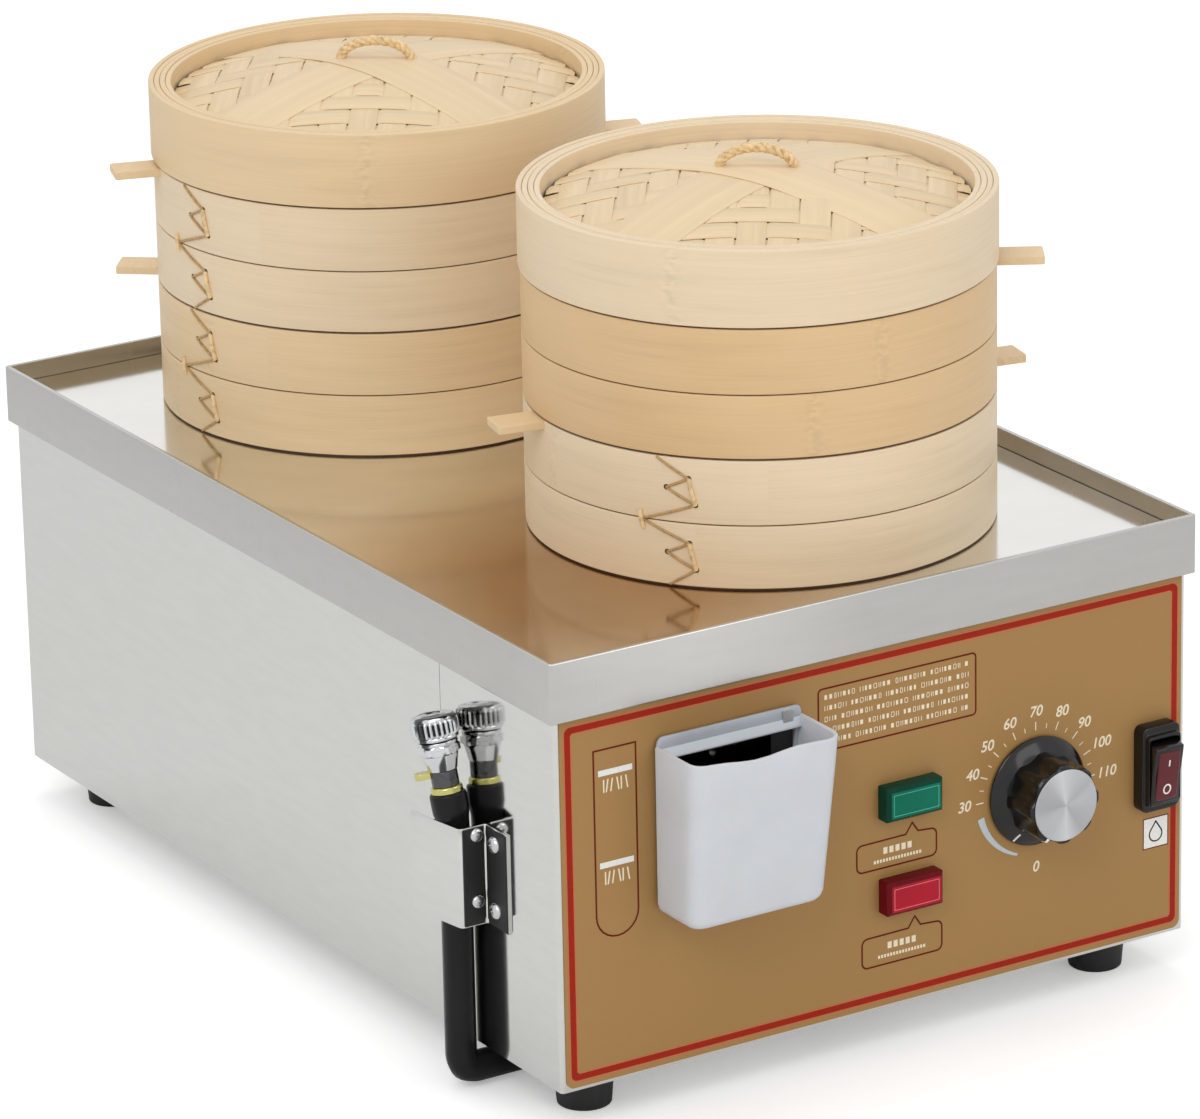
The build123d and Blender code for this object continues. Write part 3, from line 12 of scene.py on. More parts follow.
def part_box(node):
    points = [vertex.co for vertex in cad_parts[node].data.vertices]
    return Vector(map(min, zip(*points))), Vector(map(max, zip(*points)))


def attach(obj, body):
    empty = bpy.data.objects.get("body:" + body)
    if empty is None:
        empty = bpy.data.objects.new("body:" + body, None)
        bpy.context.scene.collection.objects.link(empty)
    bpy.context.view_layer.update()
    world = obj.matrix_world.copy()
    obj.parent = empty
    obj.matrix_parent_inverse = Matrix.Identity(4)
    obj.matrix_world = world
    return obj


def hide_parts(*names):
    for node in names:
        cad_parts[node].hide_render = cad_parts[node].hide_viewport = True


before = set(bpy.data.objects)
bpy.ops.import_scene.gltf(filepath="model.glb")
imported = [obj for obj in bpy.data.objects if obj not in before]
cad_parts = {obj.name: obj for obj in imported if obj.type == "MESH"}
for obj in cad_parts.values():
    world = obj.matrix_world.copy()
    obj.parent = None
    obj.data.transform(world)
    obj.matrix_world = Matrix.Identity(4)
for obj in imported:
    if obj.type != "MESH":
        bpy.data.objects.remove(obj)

bl_info = {
    "name": "Dumpling steamer",
    "version": (1, 0, 0),
    "blender": (4, 5, 0),
    "location": "3D View > Sidebar > Steamer",
    "description": "Builds the visible pieces and finishes of a two-stack dumpling steamer",
    "category": "Add Mesh",
}

# Geometry below is written in millimetres and turned into metres when a piece is made
MM = 0.001
SHEET = 1.2


def srgb(red, green, blue):
    """Turn a colour of 0 to 255 per channel into the linear values that Blender works with."""
    def linear(value):
        share = value / 255
        return share / 12.92 if share <= 0.04045 else ((share + 0.055) / 1.055) ** 2.4
    return (linear(red), linear(green), linear(blue))


def ends(node):
    """Give a node's lowest and highest corners in millimetres."""
    low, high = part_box(node)[:2]
    return low / MM, high / MM


def middle_of(node):
    """Give the middle of a node's box in millimetres."""
    low, high = ends(node)
    return low / 2 + high / 2


FRONT_Y = ends("front_panel")[0].y
LEFT_X = ends("front_panel")[0].x
REAR_Y = ends("rear_wrap")[1].y
FASCIA_FACE = FRONT_Y - ends("control_fascia")[0].y
PLATE_TOP = ends("steam_plate")[1].z


def colour_property(name, description, colour):
    """Declare a colour that a user may change."""
    return FloatVectorProperty(
        name=name, description=description, default=srgb(*colour), subtype="COLOR",
        size=3, min=0, max=1,
    )


def length_property(name, description, millimetres):
    """Declare a length that a user may change."""
    return FloatProperty(
        name=name, description=description, default=millimetres * MM, unit="LENGTH", min=0,
        precision=5,
    )


def angle_property(name, description, degrees):
    """Declare an angle that a user may change."""
    return FloatProperty(
        name=name, description=description, default=radians(degrees), subtype="ANGLE"
    )


class StageSettings(bpy.types.PropertyGroup):
    """Light, floor and camera."""

    floor_colour: colour_property("Floor", "Colour of the floor", (250, 250, 250))
    floor_size: length_property("Floor size", "Side of the square floor", 16000)
    sky_strength: FloatProperty(
        name="Sky", description="Strength of the light that comes from all round",
        default=0.64, min=0, max=2,
    )
    key_power: FloatProperty(
        name="Key lamp", description="Power of the large lamp at the upper left",
        default=24, min=0, max=500, unit="POWER",
    )
    lens: FloatProperty(
        name="Lens", description="Focal length of the camera", default=208.25,
        min=10, max=500, unit="CAMERA",
    )
    azimuth: angle_property("Azimuth", "Turn of the camera round the steamer", -31.366)
    elevation: angle_property("Elevation", "Height of the camera as an angle", 19.51)
    roll: angle_property("Roll", "Tilt of the camera about its own line of sight", -1.203)


class CabinetSettings(bpy.types.PropertyGroup):
    """Polished sheet and the printed fascia."""

    steel: colour_property("Steel", "Colour of the polished sheet", (215, 215, 212))
    gold: colour_property("Fascia", "Ground colour of the fascia", (164, 126, 75))
    red: colour_property("Border", "Colour of the border line", (158, 40, 20))
    halo: colour_property("Halo", "Colour of the soft edge of the border line", (200, 112, 80))
    outline: colour_property("Outline", "Colour of the thin outlines", (104, 32, 18))
    ink: colour_property("Scale", "Colour of the scale and the small strokes", (240, 226, 196))
    border_width: length_property("Border width", "Width of the border line", 3.0)
    outline_width: length_property("Outline width", "Width of the thin outlines", 0.85)
    figure_height: length_property("Figure height", "Size of the figures on the dial", 7.2)


class ControlSettings(bpy.types.PropertyGroup):
    """Hopper, dial, switch and lamps."""

    milky: colour_property("Hopper", "Colour of the translucent hopper", (206, 210, 215))
    black: colour_property("Black", "Colour of the glossy black mouldings", (16, 15, 15))
    green: colour_property("Power lamp", "Colour of the power lamp", (0, 108, 84))
    ruby: colour_property("Heating lamp", "Colour of the heating lamp", (172, 22, 44))
    window: colour_property("Rocker window", "Colour of the strip in the rocker", (92, 18, 28))
    lobes: IntProperty(name="Lobes", description="Lobes round the dial's grip", default=8, min=3)
    soft_edge: length_property("Soft edge", "Rounding of moulded edges", 0.8)


class DrainSettings(bpy.types.PropertyGroup):
    """Drain hose, valve and bracket."""

    hose: colour_property("Hose", "Colour of the hose and its cuff", (26, 26, 28))
    chrome: colour_property("Chrome", "Colour of the plated valve", (214, 215, 217))
    brass: colour_property("Brass", "Colour of the brass sleeve", (206, 200, 128))
    hose_radius: length_property("Hose radius", "Outer radius of the drain hose", 7.3)
    flutes: IntProperty(name="Flutes", description="Flutes round the tap", default=26, min=6)


class BambooSettings(bpy.types.PropertyGroup):
    """Baskets and lids."""

    pale: colour_property("Pale bamboo", "Colour of the palest hoops", (234, 213, 181))
    light: colour_property("Light bamboo", "Colour of the light tan hoops", (231, 204, 163))
    tan: colour_property("Tan bamboo", "Colour of the darker hoops", (223, 190, 144))
    strip: colour_property("Strip", "Colour of the woven strips", (232, 208, 170))
    cane: colour_property("Cane", "Colour of the rattan stitches and handles", (234, 203, 154))
    # gap is painted shade: the colour of the seams, the stitch holes and the sheet under the weave
    gap: colour_property("Gap", "Colour of the dark under the weave", (84, 54, 26))
    hoop_layers: IntProperty(name="Layers", description="Layers in each hoop", default=4, min=1)
    strip_pitch: length_property("Strip pitch", "Spacing of the woven strips", 14.2)
    strip_gap: length_property("Strip gap", "Gap between two strips side by side", 0.9)
    strip_rise: length_property("Strip rise", "Height by which strips pass each other", 0.45)
    stitch_radius: length_property("Stitch", "Radius of the rattan stitches", 1.1)


# Finishes


class Finish:
    """One procedural material: a shader, and the textures that feed it."""

    def __init__(self, name, colour, roughness, metallic=0.0, **sockets):
        self.material = bpy.data.materials.new(name)
        self.material.use_nodes = True
        self.tree = self.material.node_tree
        self.shader = self.tree.nodes["Principled BSDF"]
        self.colour = tuple(colour)
        self.set("Base Color", (*self.colour, 1))
        self.set("Roughness", roughness)
        self.set("Metallic", metallic)
        for socket, value in sockets.items():
            self.set(socket.replace("_", " "), value)
        self.material.diffuse_color = (*self.colour, 1)

    def set(self, socket, value):
        """Set one of the shader's own sockets."""
        self.shader.inputs[socket].default_value = value

    def add(self, kind, **values):
        """Add a node and set its properties, or its inputs by name."""
        node = self.tree.nodes.new(kind)
        for key, value in values.items():
            if hasattr(node, key):
                setattr(node, key, value)
            else:
                node.inputs[key.replace("_", " ")].default_value = value
        return node

    def join(self, start, end):
        """Link an output to an input."""
        self.tree.links.new(start, end)

    def lay(self, kind, source, mapping, **values):
        """Lay a texture over the coordinates of the piece, moved or stretched by a mapping."""
        place = self.add("ShaderNodeTexCoord")
        spread = self.add("ShaderNodeMapping", **mapping)
        texture = self.add(kind, **values)
        self.join(place.outputs[source], spread.inputs["Vector"])
        self.join(spread.outputs["Vector"], texture.inputs["Vector"])
        return texture.outputs["Fac"]

    def noise(self, scale, stretch=(1, 1, 1), detail=4.0, source="Object"):
        """Give noise that is stretched along the coordinates of the piece."""
        return self.lay(
            "ShaderNodeTexNoise", source, {"Scale": stretch}, Scale=scale, Detail=detail
        )

    def gradient(self, kind, **mapping):
        """Give a gradient over the coordinates of the piece."""
        return self.lay("ShaderNodeTexGradient", "Object", mapping, gradient_type=kind)

    def ramp(self, factor, *stops):
        """Turn a factor into colours; a stop is a place and a brightness or a colour."""
        node = self.add("ShaderNodeValToRGB")
        while len(node.color_ramp.elements) < len(stops):
            node.color_ramp.elements.new(0.5)
        for element, (place, value) in zip(node.color_ramp.elements, stops):
            element.position = place
            shade = self.shade(value) if isinstance(value, (int, float)) else value
            element.color = (*shade, 1)
        self.join(factor, node.inputs["Fac"])
        return node.outputs["Color"]

    def shade(self, brightness):
        """Give the finish's own colour, darker or lighter."""
        return tuple(min(1.0, part * brightness) for part in self.colour)

    def blend(self, factor, first, second, kind="MIX"):
        """Mix two colours, wholly or by a factor that varies over the surface."""
        node = self.add("ShaderNodeMix", data_type="RGBA", blend_type=kind)
        node.inputs["Factor"].default_value = 1.0
        if factor:
            self.join(factor, node.inputs["Factor"])
        self.join(first, node.inputs[6])
        self.join(second, node.inputs[7])
        return node.outputs[2]

    def paint(self, colour):
        """Use a varying colour."""
        self.join(colour, self.shader.inputs["Base Color"])
        return self

    def wear(self, factor, low, high):
        """Use a varying roughness."""
        node = self.add("ShaderNodeMapRange", To_Min=low, To_Max=high)
        self.join(factor, node.inputs["Value"])
        self.join(node.outputs["Result"], self.shader.inputs["Roughness"])
        return self

    def emboss(self, height, strength, depth):
        """Use a height as bump; depth is in millimetres."""
        node = self.add("ShaderNodeBump", Strength=strength, Distance=depth * MM)
        self.join(height, node.inputs["Height"])
        self.join(node.outputs["Normal"], self.shader.inputs["Normal"])
        return self


def settings(name):
    """Give one of the steamer's groups of settings."""
    return getattr(bpy.context.scene, f"steamer_{name}")


def make_sheet_steel(name, colour, polish, wave, tone=None):
    """Make rolled sheet with a polish from least to most rough, and perhaps a round patch of
    painted light.
    """
    sheet = Finish(name, colour, polish[0], 1.0)
    paint = sheet.ramp(sheet.noise(40, (1, 1, 6), 3), (0.3, 0.96), (0.7, 1.0))
    # The round tone is painted light: the rim's painted sheen and the plate's painted reflection
    if tone:
        place, size, *stops = tone
        ball = sheet.gradient("SPHERICAL", Location=place, Scale=size)
        paint = sheet.blend(None, paint, sheet.ramp(ball, *stops), "MULTIPLY")
    sheet.paint(paint)
    sheet.wear(sheet.noise(300, (1, 1, 0.05), 2), *polish)
    return sheet.emboss(sheet.noise(9, detail=1), wave, 0.4).material


def make_rim_steel(name, colour):
    """Make the satin rim, whose front has a painted sheen, brighter beside its left corner."""
    # Painted sheen: a round brightening of the rim's colour towards its front left corner
    painted_sheen = ((1.0, 2.95, -2.13), (10, 10, 10), (0.0, (0.82, 0.82, 0.82)), (0.7, (1, 1, 1)))
    return make_sheet_steel(name, colour, (0.19, 0.31), 0.03, painted_sheen)


def make_plate_steel(name, colour):
    """Make the mirror plate, with a painted straw-brown reflection of the baskets beside the front
    steam hole.
    """
    # Painted reflection: a round straw-brown patch stands for the baskets mirrored in the plate
    painted_basket_reflection = ((0.56, 1.03, 0), (6.2, 6.2, 0), (0.0, (1, 1, 1)), (0.7, (0.65, 0.46, 0.3)))
    return make_sheet_steel(name, colour, (0.09, 0.15), 0.04, painted_basket_reflection)


def make_metal(name, colour, roughness):
    """Make turned, plated or drawn metal with fine tool marks."""
    metal = Finish(name, colour, roughness, 1.0)
    marks = metal.noise(900, detail=3)
    metal.paint(metal.ramp(marks, (0.3, 0.9), (0.7, 1.0)))
    metal.wear(marks, roughness * 0.8, roughness * 1.4)
    return metal.emboss(marks, 0.08, 0.05).material


def make_chrome(name, colour):
    """Make bright chrome with painted reflections: the broken dark streaks of a workshop round it.
    """
    chrome = Finish(name, colour, 0.07, 1.0)
    streaks = chrome.noise(150, (1, 1, 0.35), 1)
    # Painted reflection: near-black streaks in the colour stand for a dark workshop mirrored in the
    # chrome
    chrome.paint(chrome.ramp(streaks, (0.34, 0.1), (0.4, 0.16), (0.46, 0.96), (0.7, 1.0)))
    return chrome.wear(streaks, 0.05, 0.1).material


def make_moulding(name, colour, roughness, texture=0.1, cloud=0.07, **sockets):
    """Make moulded plastic or rubber with the faint grain of its mould."""
    moulding = Finish(name, colour, roughness, **sockets)
    grain = moulding.noise(1400, detail=2)
    moulding.paint(moulding.ramp(moulding.noise(60), (0.3, 1 - cloud), (0.7, 1 + cloud)))
    moulding.wear(grain, roughness * 0.85, roughness * 1.2)
    return moulding.emboss(grain, texture, 0.05).material


def make_gloss(name, colour, roughness, shine, coat=0.0, coat_roughness=0.05):
    """Make a smooth glossy moulding, which may have a clear coat."""
    return make_moulding(
        name, colour, roughness, 0.02, Specular_IOR_Level=shine, Coat_Weight=coat,
        Coat_Roughness=coat_roughness,
    )


def make_milky(name, colour):
    """Make translucent plastic that lets light in a little way."""
    return make_moulding(
        name, colour, 0.36, 0.03, 0.02, Subsurface_Weight=0.3, Subsurface_Scale=0.003,
        Specular_IOR_Level=0.3,
    )


def make_hose(name, colour):
    """Make the smooth rubber of a hose, with little shine."""
    return make_moulding(name, colour, 0.3, 0.04, Specular_IOR_Level=0.18)


def make_fascia_coat(name, colour):
    """Make the satin gold-brown coat, with the fine sparkle of its pigment."""
    coat = Finish(name, colour, 0.46, Specular_IOR_Level=0.25)
    sparkle = coat.noise(2600, detail=2)
    cloud = coat.ramp(coat.noise(7, detail=2), (0.3, 0.97), (0.7, 1.03))
    fine = coat.ramp(sparkle, (0.35, 0.95), (0.65, 1.04))
    coat.paint(coat.blend(sparkle, cloud, fine))
    return coat.wear(sparkle, 0.38, 0.5).material


def make_ink(name, colour):
    """Make screen-printed ink, slightly uneven."""
    ink = Finish(name, colour, 0.5, Specular_IOR_Level=0.1)
    cover = ink.noise(900, detail=3)
    ink.paint(ink.ramp(cover, (0.3, 0.93), (0.7, 1.03)))
    return ink.emboss(cover, 0.1, 0.02).material


def make_bamboo(name, colour, shift):
    """Make split bamboo: long fibres, cloudy tone, and a node across each length."""
    bamboo = Finish(name, colour, 0.42, Specular_IOR_Level=0.35)
    fibres = bamboo.noise(1, (14, 900, 1), 5, "UV")
    streaks = bamboo.noise(1, (9, 160, 1), 4, "UV")
    clouds = bamboo.noise(1, (5 + shift, 9, 1), 2, "UV")
    warm = (0.86, 0.76, 0.6)
    tone = bamboo.ramp(
        clouds, (0.3, tuple(c * w for c, w in zip(colour, warm))), (0.5, 0.97), (0.72, 1.04)
    )
    grain = bamboo.ramp(fibres, (0.3, 0.84), (0.5, 0.99), (0.7, 1.05))
    long_streaks = bamboo.ramp(streaks, (0.28, 0.82), (0.42, 0.98), (0.75, 1.03))
    mixed = bamboo.blend(fibres, tone, grain)
    mixed = bamboo.blend(streaks, mixed, long_streaks)
    place = bamboo.add("ShaderNodeTexCoord")
    apart = bamboo.add("ShaderNodeSeparateXYZ")
    bamboo.join(place.outputs["UV"], apart.inputs["Vector"])
    sway = bamboo.add("ShaderNodeMath", operation="MULTIPLY_ADD")
    bamboo.join(bamboo.noise(1, (2, 60, 1), 2, "UV"), sway.inputs[0])
    sway.inputs[1].default_value = 0.012
    bamboo.join(apart.outputs["X"], sway.inputs[2])
    lengths = bamboo.add("ShaderNodeMath", operation="PINGPONG")
    bamboo.join(sway.outputs["Value"], lengths.inputs[0])
    lengths.inputs[1].default_value = 0.125 + 0.02 * shift
    node_line = bamboo.ramp(lengths.outputs["Value"], (0.0, (0.5, 0.5, 0.5)), (0.006, (0, 0, 0)))
    speckle = bamboo.ramp(bamboo.noise(1, (220, 420, 1), 3, "UV"), (0.4, 1.07), (0.62, 0.78))
    bamboo.paint(bamboo.blend(node_line, mixed, speckle))
    bamboo.wear(streaks, 0.36, 0.5)
    return bamboo.emboss(fibres, 0.18, 0.12).material


def make_strip_bamboo(name, colour):
    """Make thin split strips whose fibres run along the coordinates of each strip."""
    strip = Finish(name, colour, 0.46, Specular_IOR_Level=0.3)
    fibres = strip.noise(1, (18, 700, 1), 4, "UV")
    tone = strip.noise(1, (6, 34, 1), 3, "UV")
    grain = strip.ramp(fibres, (0.3, 0.84), (0.7, 1.06))
    clouds = strip.ramp(tone, (0.32, 0.84), (0.5, 0.98), (0.68, 1.06))
    strip.paint(strip.blend(fibres, clouds, grain))
    strip.wear(fibres, 0.4, 0.55)
    return strip.emboss(fibres, 0.25, 0.12).material


def make_cane(name, colour):
    """Make rattan: pale skin with darker pith and short cracks."""
    cane = Finish(name, colour, 0.5)
    skin = cane.noise(420, (1, 1, 1), 5)
    cane.paint(cane.ramp(skin, (0.34, 0.72), (0.5, 0.99), (0.66, 1.08)))
    return cane.emboss(skin, 0.3, 0.15).material


def make_slats(name, colour):
    """Make the split slats of the basket floors, with soft long fibres."""
    slats = Finish(name, colour, 0.5, Specular_IOR_Level=0.3)
    fibres = slats.noise(120, (6, 1, 1), 3)
    slats.paint(slats.ramp(fibres, (0.3, 0.88), (0.5, 0.98), (0.7, 1.04)))
    return slats.emboss(fibres, 0.15, 0.1).material


def make_spun_metal(name, colour):
    """Make a spun face, whose painted sheen of bright and dark fans runs round its centre."""
    spun = Finish(name, colour, 0.34, 1.0, Anisotropic=0.85)
    turn = spun.add("ShaderNodeTangent", direction_type="RADIAL", axis="Y")
    spun.join(turn.outputs["Tangent"], spun.shader.inputs["Tangent"])
    marks = spun.noise(1500, detail=2)
    middle = middle_of("knob_cap") * MM
    # Painted sheen: the colour turns brighter and darker in fans by the angle round the cap
    round_it = spun.gradient(
        "RADIAL", Rotation=(pi / 2, 0, 0), Location=(-middle.x, middle.z, 0)
    )
    painted_sheen_fans = spun.ramp(
        round_it, (0, 0.7), (0.13, 0.86), (0.22, 1.3), (0.28, 1.1), (0.4, 0.74),
        (0.52, 0.92), (0.66, 0.8), (0.75, 1.28), (0.84, 0.95), (1, 0.7),
    )
    rubbed = spun.ramp(marks, (0.3, 0.92), (0.7, 1.0))
    faint = spun.add("ShaderNodeMapRange", To_Min=0.1, To_Max=0.3)
    spun.join(marks, faint.inputs["Value"])
    spun.paint(spun.blend(faint.outputs["Result"], painted_sheen_fans, rubbed))
    return spun.wear(marks, 0.3, 0.38).material


FINISHES = {}


def finish(name):
    """Give a finish by the name of its slot, and make it on first use."""
    if name in FINISHES:
        return FINISHES[name]
    cabinet, controls, drain, bamboo = map(settings, ("cabinet", "controls", "drain", "bamboo"))
    makers = {
        "polished_steel": (
            make_sheet_steel, "polished_side_sheet", cabinet.steel, (0.056, 0.091), 0.05
        ),
        "plate_steel": (make_plate_steel, "mirror_plate_sheet", srgb(232, 231, 227)),
        "rim_steel": (make_rim_steel, "rim_sheet", srgb(210, 209, 206)),
        "gold_fascia": (make_fascia_coat, "gold_fascia_coat", cabinet.gold),
        "border_ink": (make_ink, "border_ink", cabinet.red),
        "halo_ink": (make_ink, "border_halo_ink", cabinet.halo),
        "outline_ink": (make_ink, "outline_ink", cabinet.outline),
        "scale_ink": (make_ink, "scale_ink", cabinet.ink),
        "white_ink": (make_ink, "white_label_ink", srgb(236, 234, 228)),
        "ramp_ink": (make_ink, "ramp_ink", srgb(196, 204, 208)),
        "black_ink": (make_ink, "black_ink", srgb(24, 22, 22)),
        "black_rubber": (make_moulding, "black_foot_rubber", srgb(22, 22, 22), 0.55, 0.3),
        "milky_plastic": (make_milky, "milky_hopper_moulding", controls.milky),
        # Painted shade: the hopper flange is white plastic coloured grey as it is in shade
        "hopper_painted_shade": (make_moulding, "hopper_flange_grey", srgb(178, 183, 190), 0.4, 0.03),
        "black_plastic": (make_gloss, "glossy_dial_black", controls.black, 0.2, 0.3, 0.3),
        "switch_cover": (
            make_gloss, "glossy_switch_black", controls.black, 0.24, 0.3, 0.15, 0.08
        ),
        "red_window": (make_gloss, "rocker_window_red", controls.window, 0.15, 0.2, 0.3, 0.04),
        "green_lens": (make_gloss, "power_lens_green", controls.green, 0.12, 0.1, 0.1, 0.03),
        "red_lens": (make_gloss, "heating_lens_red", controls.ruby, 0.12, 0.1, 0.12, 0.03),
        # The lens edges are darker copies of the lens colours, as painted shade; the lens lines are
        # lighter copies, as painted highlights
        "green_lens_edge": (make_gloss, "power_lens_edge", srgb(0, 62, 46), 0.14, 0.12),
        "red_lens_edge": (make_gloss, "heating_lens_edge", srgb(104, 6, 20), 0.14, 0.12),
        "green_lens_line": (make_moulding, "power_lens_line", srgb(70, 172, 150), 0.2),
        "red_lens_line": (make_moulding, "heating_lens_line", srgb(226, 112, 120), 0.2),
        "grey_plastic": (make_moulding, "grey_inner_plastic", srgb(150, 152, 154), 0.5),
        "hose_rubber": (make_hose, "smooth_hose_black", drain.hose),
        "plated_steel": (make_metal, "zinc_plated_screws", srgb(206, 207, 208), 0.22),
        "element_steel": (make_metal, "dark_element_steel", srgb(128, 122, 116), 0.4),
        "brass_fitting": (make_metal, "bright_brass", drain.brass, 0.2),
        "copper_tube": (make_metal, "drawn_copper", srgb(196, 128, 92), 0.3),
        # Painted shade: darker chrome for the valve's neck, in the recess between sleeve and tab
        "painted_shade_chrome": (make_metal, "shaded_chrome", srgb(92, 92, 94), 0.1),
        # Painted shade: near-black chrome for the core that shows between the tap's flutes
        "groove_chrome": (make_metal, "groove_chrome", srgb(44, 44, 47), 0.3),
        "valve_chrome": (make_chrome, "valve_chrome", drain.chrome),
        "spun_aluminium": (make_spun_metal, "spun_cap_aluminium", srgb(196, 197, 199)),
        "bamboo_pale": (make_bamboo, "pale_hoop_bamboo", bamboo.pale, 1),
        "bamboo_light": (make_bamboo, "light_hoop_bamboo", bamboo.light, 2),
        "bamboo_tan": (make_bamboo, "tan_hoop_bamboo", bamboo.tan, 3),
        "bamboo_weave": (make_strip_bamboo, "woven_strip_bamboo", bamboo.strip),
        "slat_bamboo": (make_slats, "slat_bamboo", bamboo.light),
        "rattan": (make_cane, "rattan_cane", bamboo.cane),
        "dark_rattan": (make_cane, "rattan_thread", srgb(186, 150, 98)),
        # Painted shade: the dark of the seams, the stitch holes and under the weave, where little
        # light reaches
        "painted_gap_shade": (make_cane, "dark_under_weave", bamboo.gap),
    }
    maker, *values = makers[name]
    FINISHES[name] = maker(*values)
    return FINISHES[name]


# Shapes


def soften(profile, radius, steps=3, closed=True):
    """Round the corners of a flat profile, as far as its edges are long enough."""
    points = [Vector(point) for point in profile]
    rounded = []
    for place, point in enumerate(points):
        if not closed and place in (0, len(points) - 1):
            rounded.append(point)
            continue
        before = points[place - 1] - point
        after = points[(place + 1) % len(points)] - point
        start = point + before.normalized() * min(radius, before.length * 0.49)
        end = point + after.normalized() * min(radius, after.length * 0.49)
        for step in range(steps + 1):
            share = step / steps
            rounded.append(
                start * (1 - share) ** 2 + point * 2 * share * (1 - share) + end * share**2
            )
    return rounded


def ring(place, level, reach_at, steps=72):
    """Give a ring of points round the upright of a place; its reach may vary with the turn."""
    points = []
    for step in range(steps):
        turn = tau * step / steps
        reach = reach_at(turn)
        points.append(place @ Vector((reach * cos(turn), reach * sin(turn), level)))
    return points


def circle(place, radius, level, steps=64):
    """Give a round ring of points."""
    return ring(place, level, lambda turn: radius, steps)


def hexagon(place, radius, level, half_width):
    """Give a ring of points round a hexagon whose corners are turned down to a radius."""
    return ring(
        place, level, lambda turn: min(radius, half_width / cos(turn % (pi / 3) - pi / 6))
    )


def fluted(place, radius, level, depth, count, steps, ease=1.0):
    """Give a ring of points with a number of shallow flutes."""
    return ring(
        place, level,
        lambda turn: radius - depth * (0.5 - 0.5 * cos(count * turn)) ** ease, steps
    )


def turned(place, profile, steps=64):
    """Give the rings of a turned part, from a profile of radius and height."""
    return [circle(place, radius, level, steps) for radius, level in profile]


def rounded_box(place, half_width, half_height, corner_radius, level, steps=5):
    """Give a ring of points along a rectangle with rounded corners."""
    radius = max(min(corner_radius, half_width, half_height), 0.001)
    points = []
    for quarter, (side_x, side_y) in enumerate(((1, 1), (-1, 1), (-1, -1), (1, -1))):
        middle = Vector((side_x * (half_width - radius), side_y * (half_height - radius)))
        for step in range(steps + 1):
            turn = (quarter + step / steps) * pi / 2
            point = middle + radius * Vector((cos(turn), sin(turn)))
            points.append(place @ Vector((*point, level)))
    return points


def pillow(place, half_width, half_height, corner_radius, section):
    """Give the rings of a rounded block, from a section of inset and height."""
    return [rounded_box(place, half_width - inset, half_height - inset, corner_radius, level)
            for inset, level in section]


def loft(shape, rings, looped=True, first=False, last=False, joined=False):
    """Join rings of points by quads; looped rings close on themselves, joined ones in a circle."""
    rows = [[shape.verts.new(point) for point in points] for points in rings]
    pairs = list(zip(rows, rows[1:])) + ([(rows[-1], rows[0])] if joined else [])
    count = len(rows[0])
    for low, high in pairs:
        for place in range(count if looped else count - 1):
            follow = (place + 1) % count
            shape.faces.new((low[place], low[follow], high[follow], high[place]))
    if first:
        shape.faces.new(rows[0][::-1])
    if last:
        shape.faces.new(rows[-1])
    return rows


def revolve(shape, place, profile, steps=120, first_angle=0.0):
    """Turn a closed profile of radius and height about an upright, with fibres round it."""
    layer = shape.loops.layers.uv.verify()
    across = [0.0]
    for low, high in zip(profile, profile[1:] + profile[:1]):
        across.append(across[-1] + (Vector(high) - Vector(low)).length)
    widest = max(point[0] for point in profile)
    rings = turned(place @ Matrix.Rotation(first_angle, 4, "Z"), profile, steps)
    rows = [[shape.verts.new(point) for point in points] for points in rings]
    for row, (low, high) in enumerate(zip(rows, rows[1:] + rows[:1])):
        for step in range(steps):
            follow = (step + 1) % steps
            face = shape.faces.new((low[step], low[follow], high[follow], high[step]))
            corners = ((step, row), (step + 1, row), (step + 1, row + 1), (step, row + 1))
            for loop, (turn, run) in zip(face.loops, corners):
                loop[layer].uv = (tau * turn / steps * widest * MM, across[run] * MM)


def show(name, data):
    """Put an object with some data in the scene."""
    thing = bpy.data.objects.new(name, data)
    bpy.context.scene.collection.objects.link(thing)
    return thing


def fit(name, data, material, body, nodes):
    """Put a piece in the scene that rides on a body and may stand for nodes."""
    piece = show(name, data)
    data.materials.append(finish(material))
    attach(piece, body)
    if nodes:
        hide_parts(*nodes)
    return piece


def make_piece(name, shape, material, body, *nodes, slot=None, sharp=34):
    """Turn a shape into a piece in metres, whose edges are smooth below an angle."""
    bmesh.ops.remove_doubles(shape, verts=shape.verts, dist=1e-5)
    bmesh.ops.recalc_face_normals(shape, faces=shape.faces)
    bmesh.ops.scale(shape, vec=(MM, MM, MM), verts=shape.verts)
    limit = radians(sharp)
    for edge in shape.edges:
        edge.smooth = len(edge.link_faces) == 2 and edge.calc_face_angle(pi) < limit
    for face in shape.faces:
        face.smooth = True
    mesh = bpy.data.meshes.new(name)
    shape.to_mesh(mesh)
    shape.free()
    return fit(name, mesh, material, body, nodes)


def make_block(name, rings, material, body, *nodes, **looks):
    """Make a piece that is one closed solid through rings of points."""
    shape = bmesh.new()
    loft(shape, rings, first=True, last=True)
    return make_piece(name, shape, material, body, *nodes, **looks)


def make_canes(name, runs, radius, material, body, *nodes, slot=None, smooth=False):
    """Make round canes or tubes along runs of points, all in one piece."""
    curve = bpy.data.curves.new(name, "CURVE")
    curve.dimensions = "3D"
    curve.bevel_depth = radius * MM
    curve.bevel_resolution = 3
    curve.resolution_u = 8
    curve.use_fill_caps = True
    for run in runs:
        spline = curve.splines.new("NURBS" if smooth else "POLY")
        spline.points.add(len(run) - 1)
        for point, place in zip(spline.points, run):
            point.co = (*(Vector(place) * MM), 1)
        if smooth:
            spline.order_u = 3
            spline.use_endpoint_u = True
    return fit(name, curve, material, body, nodes)


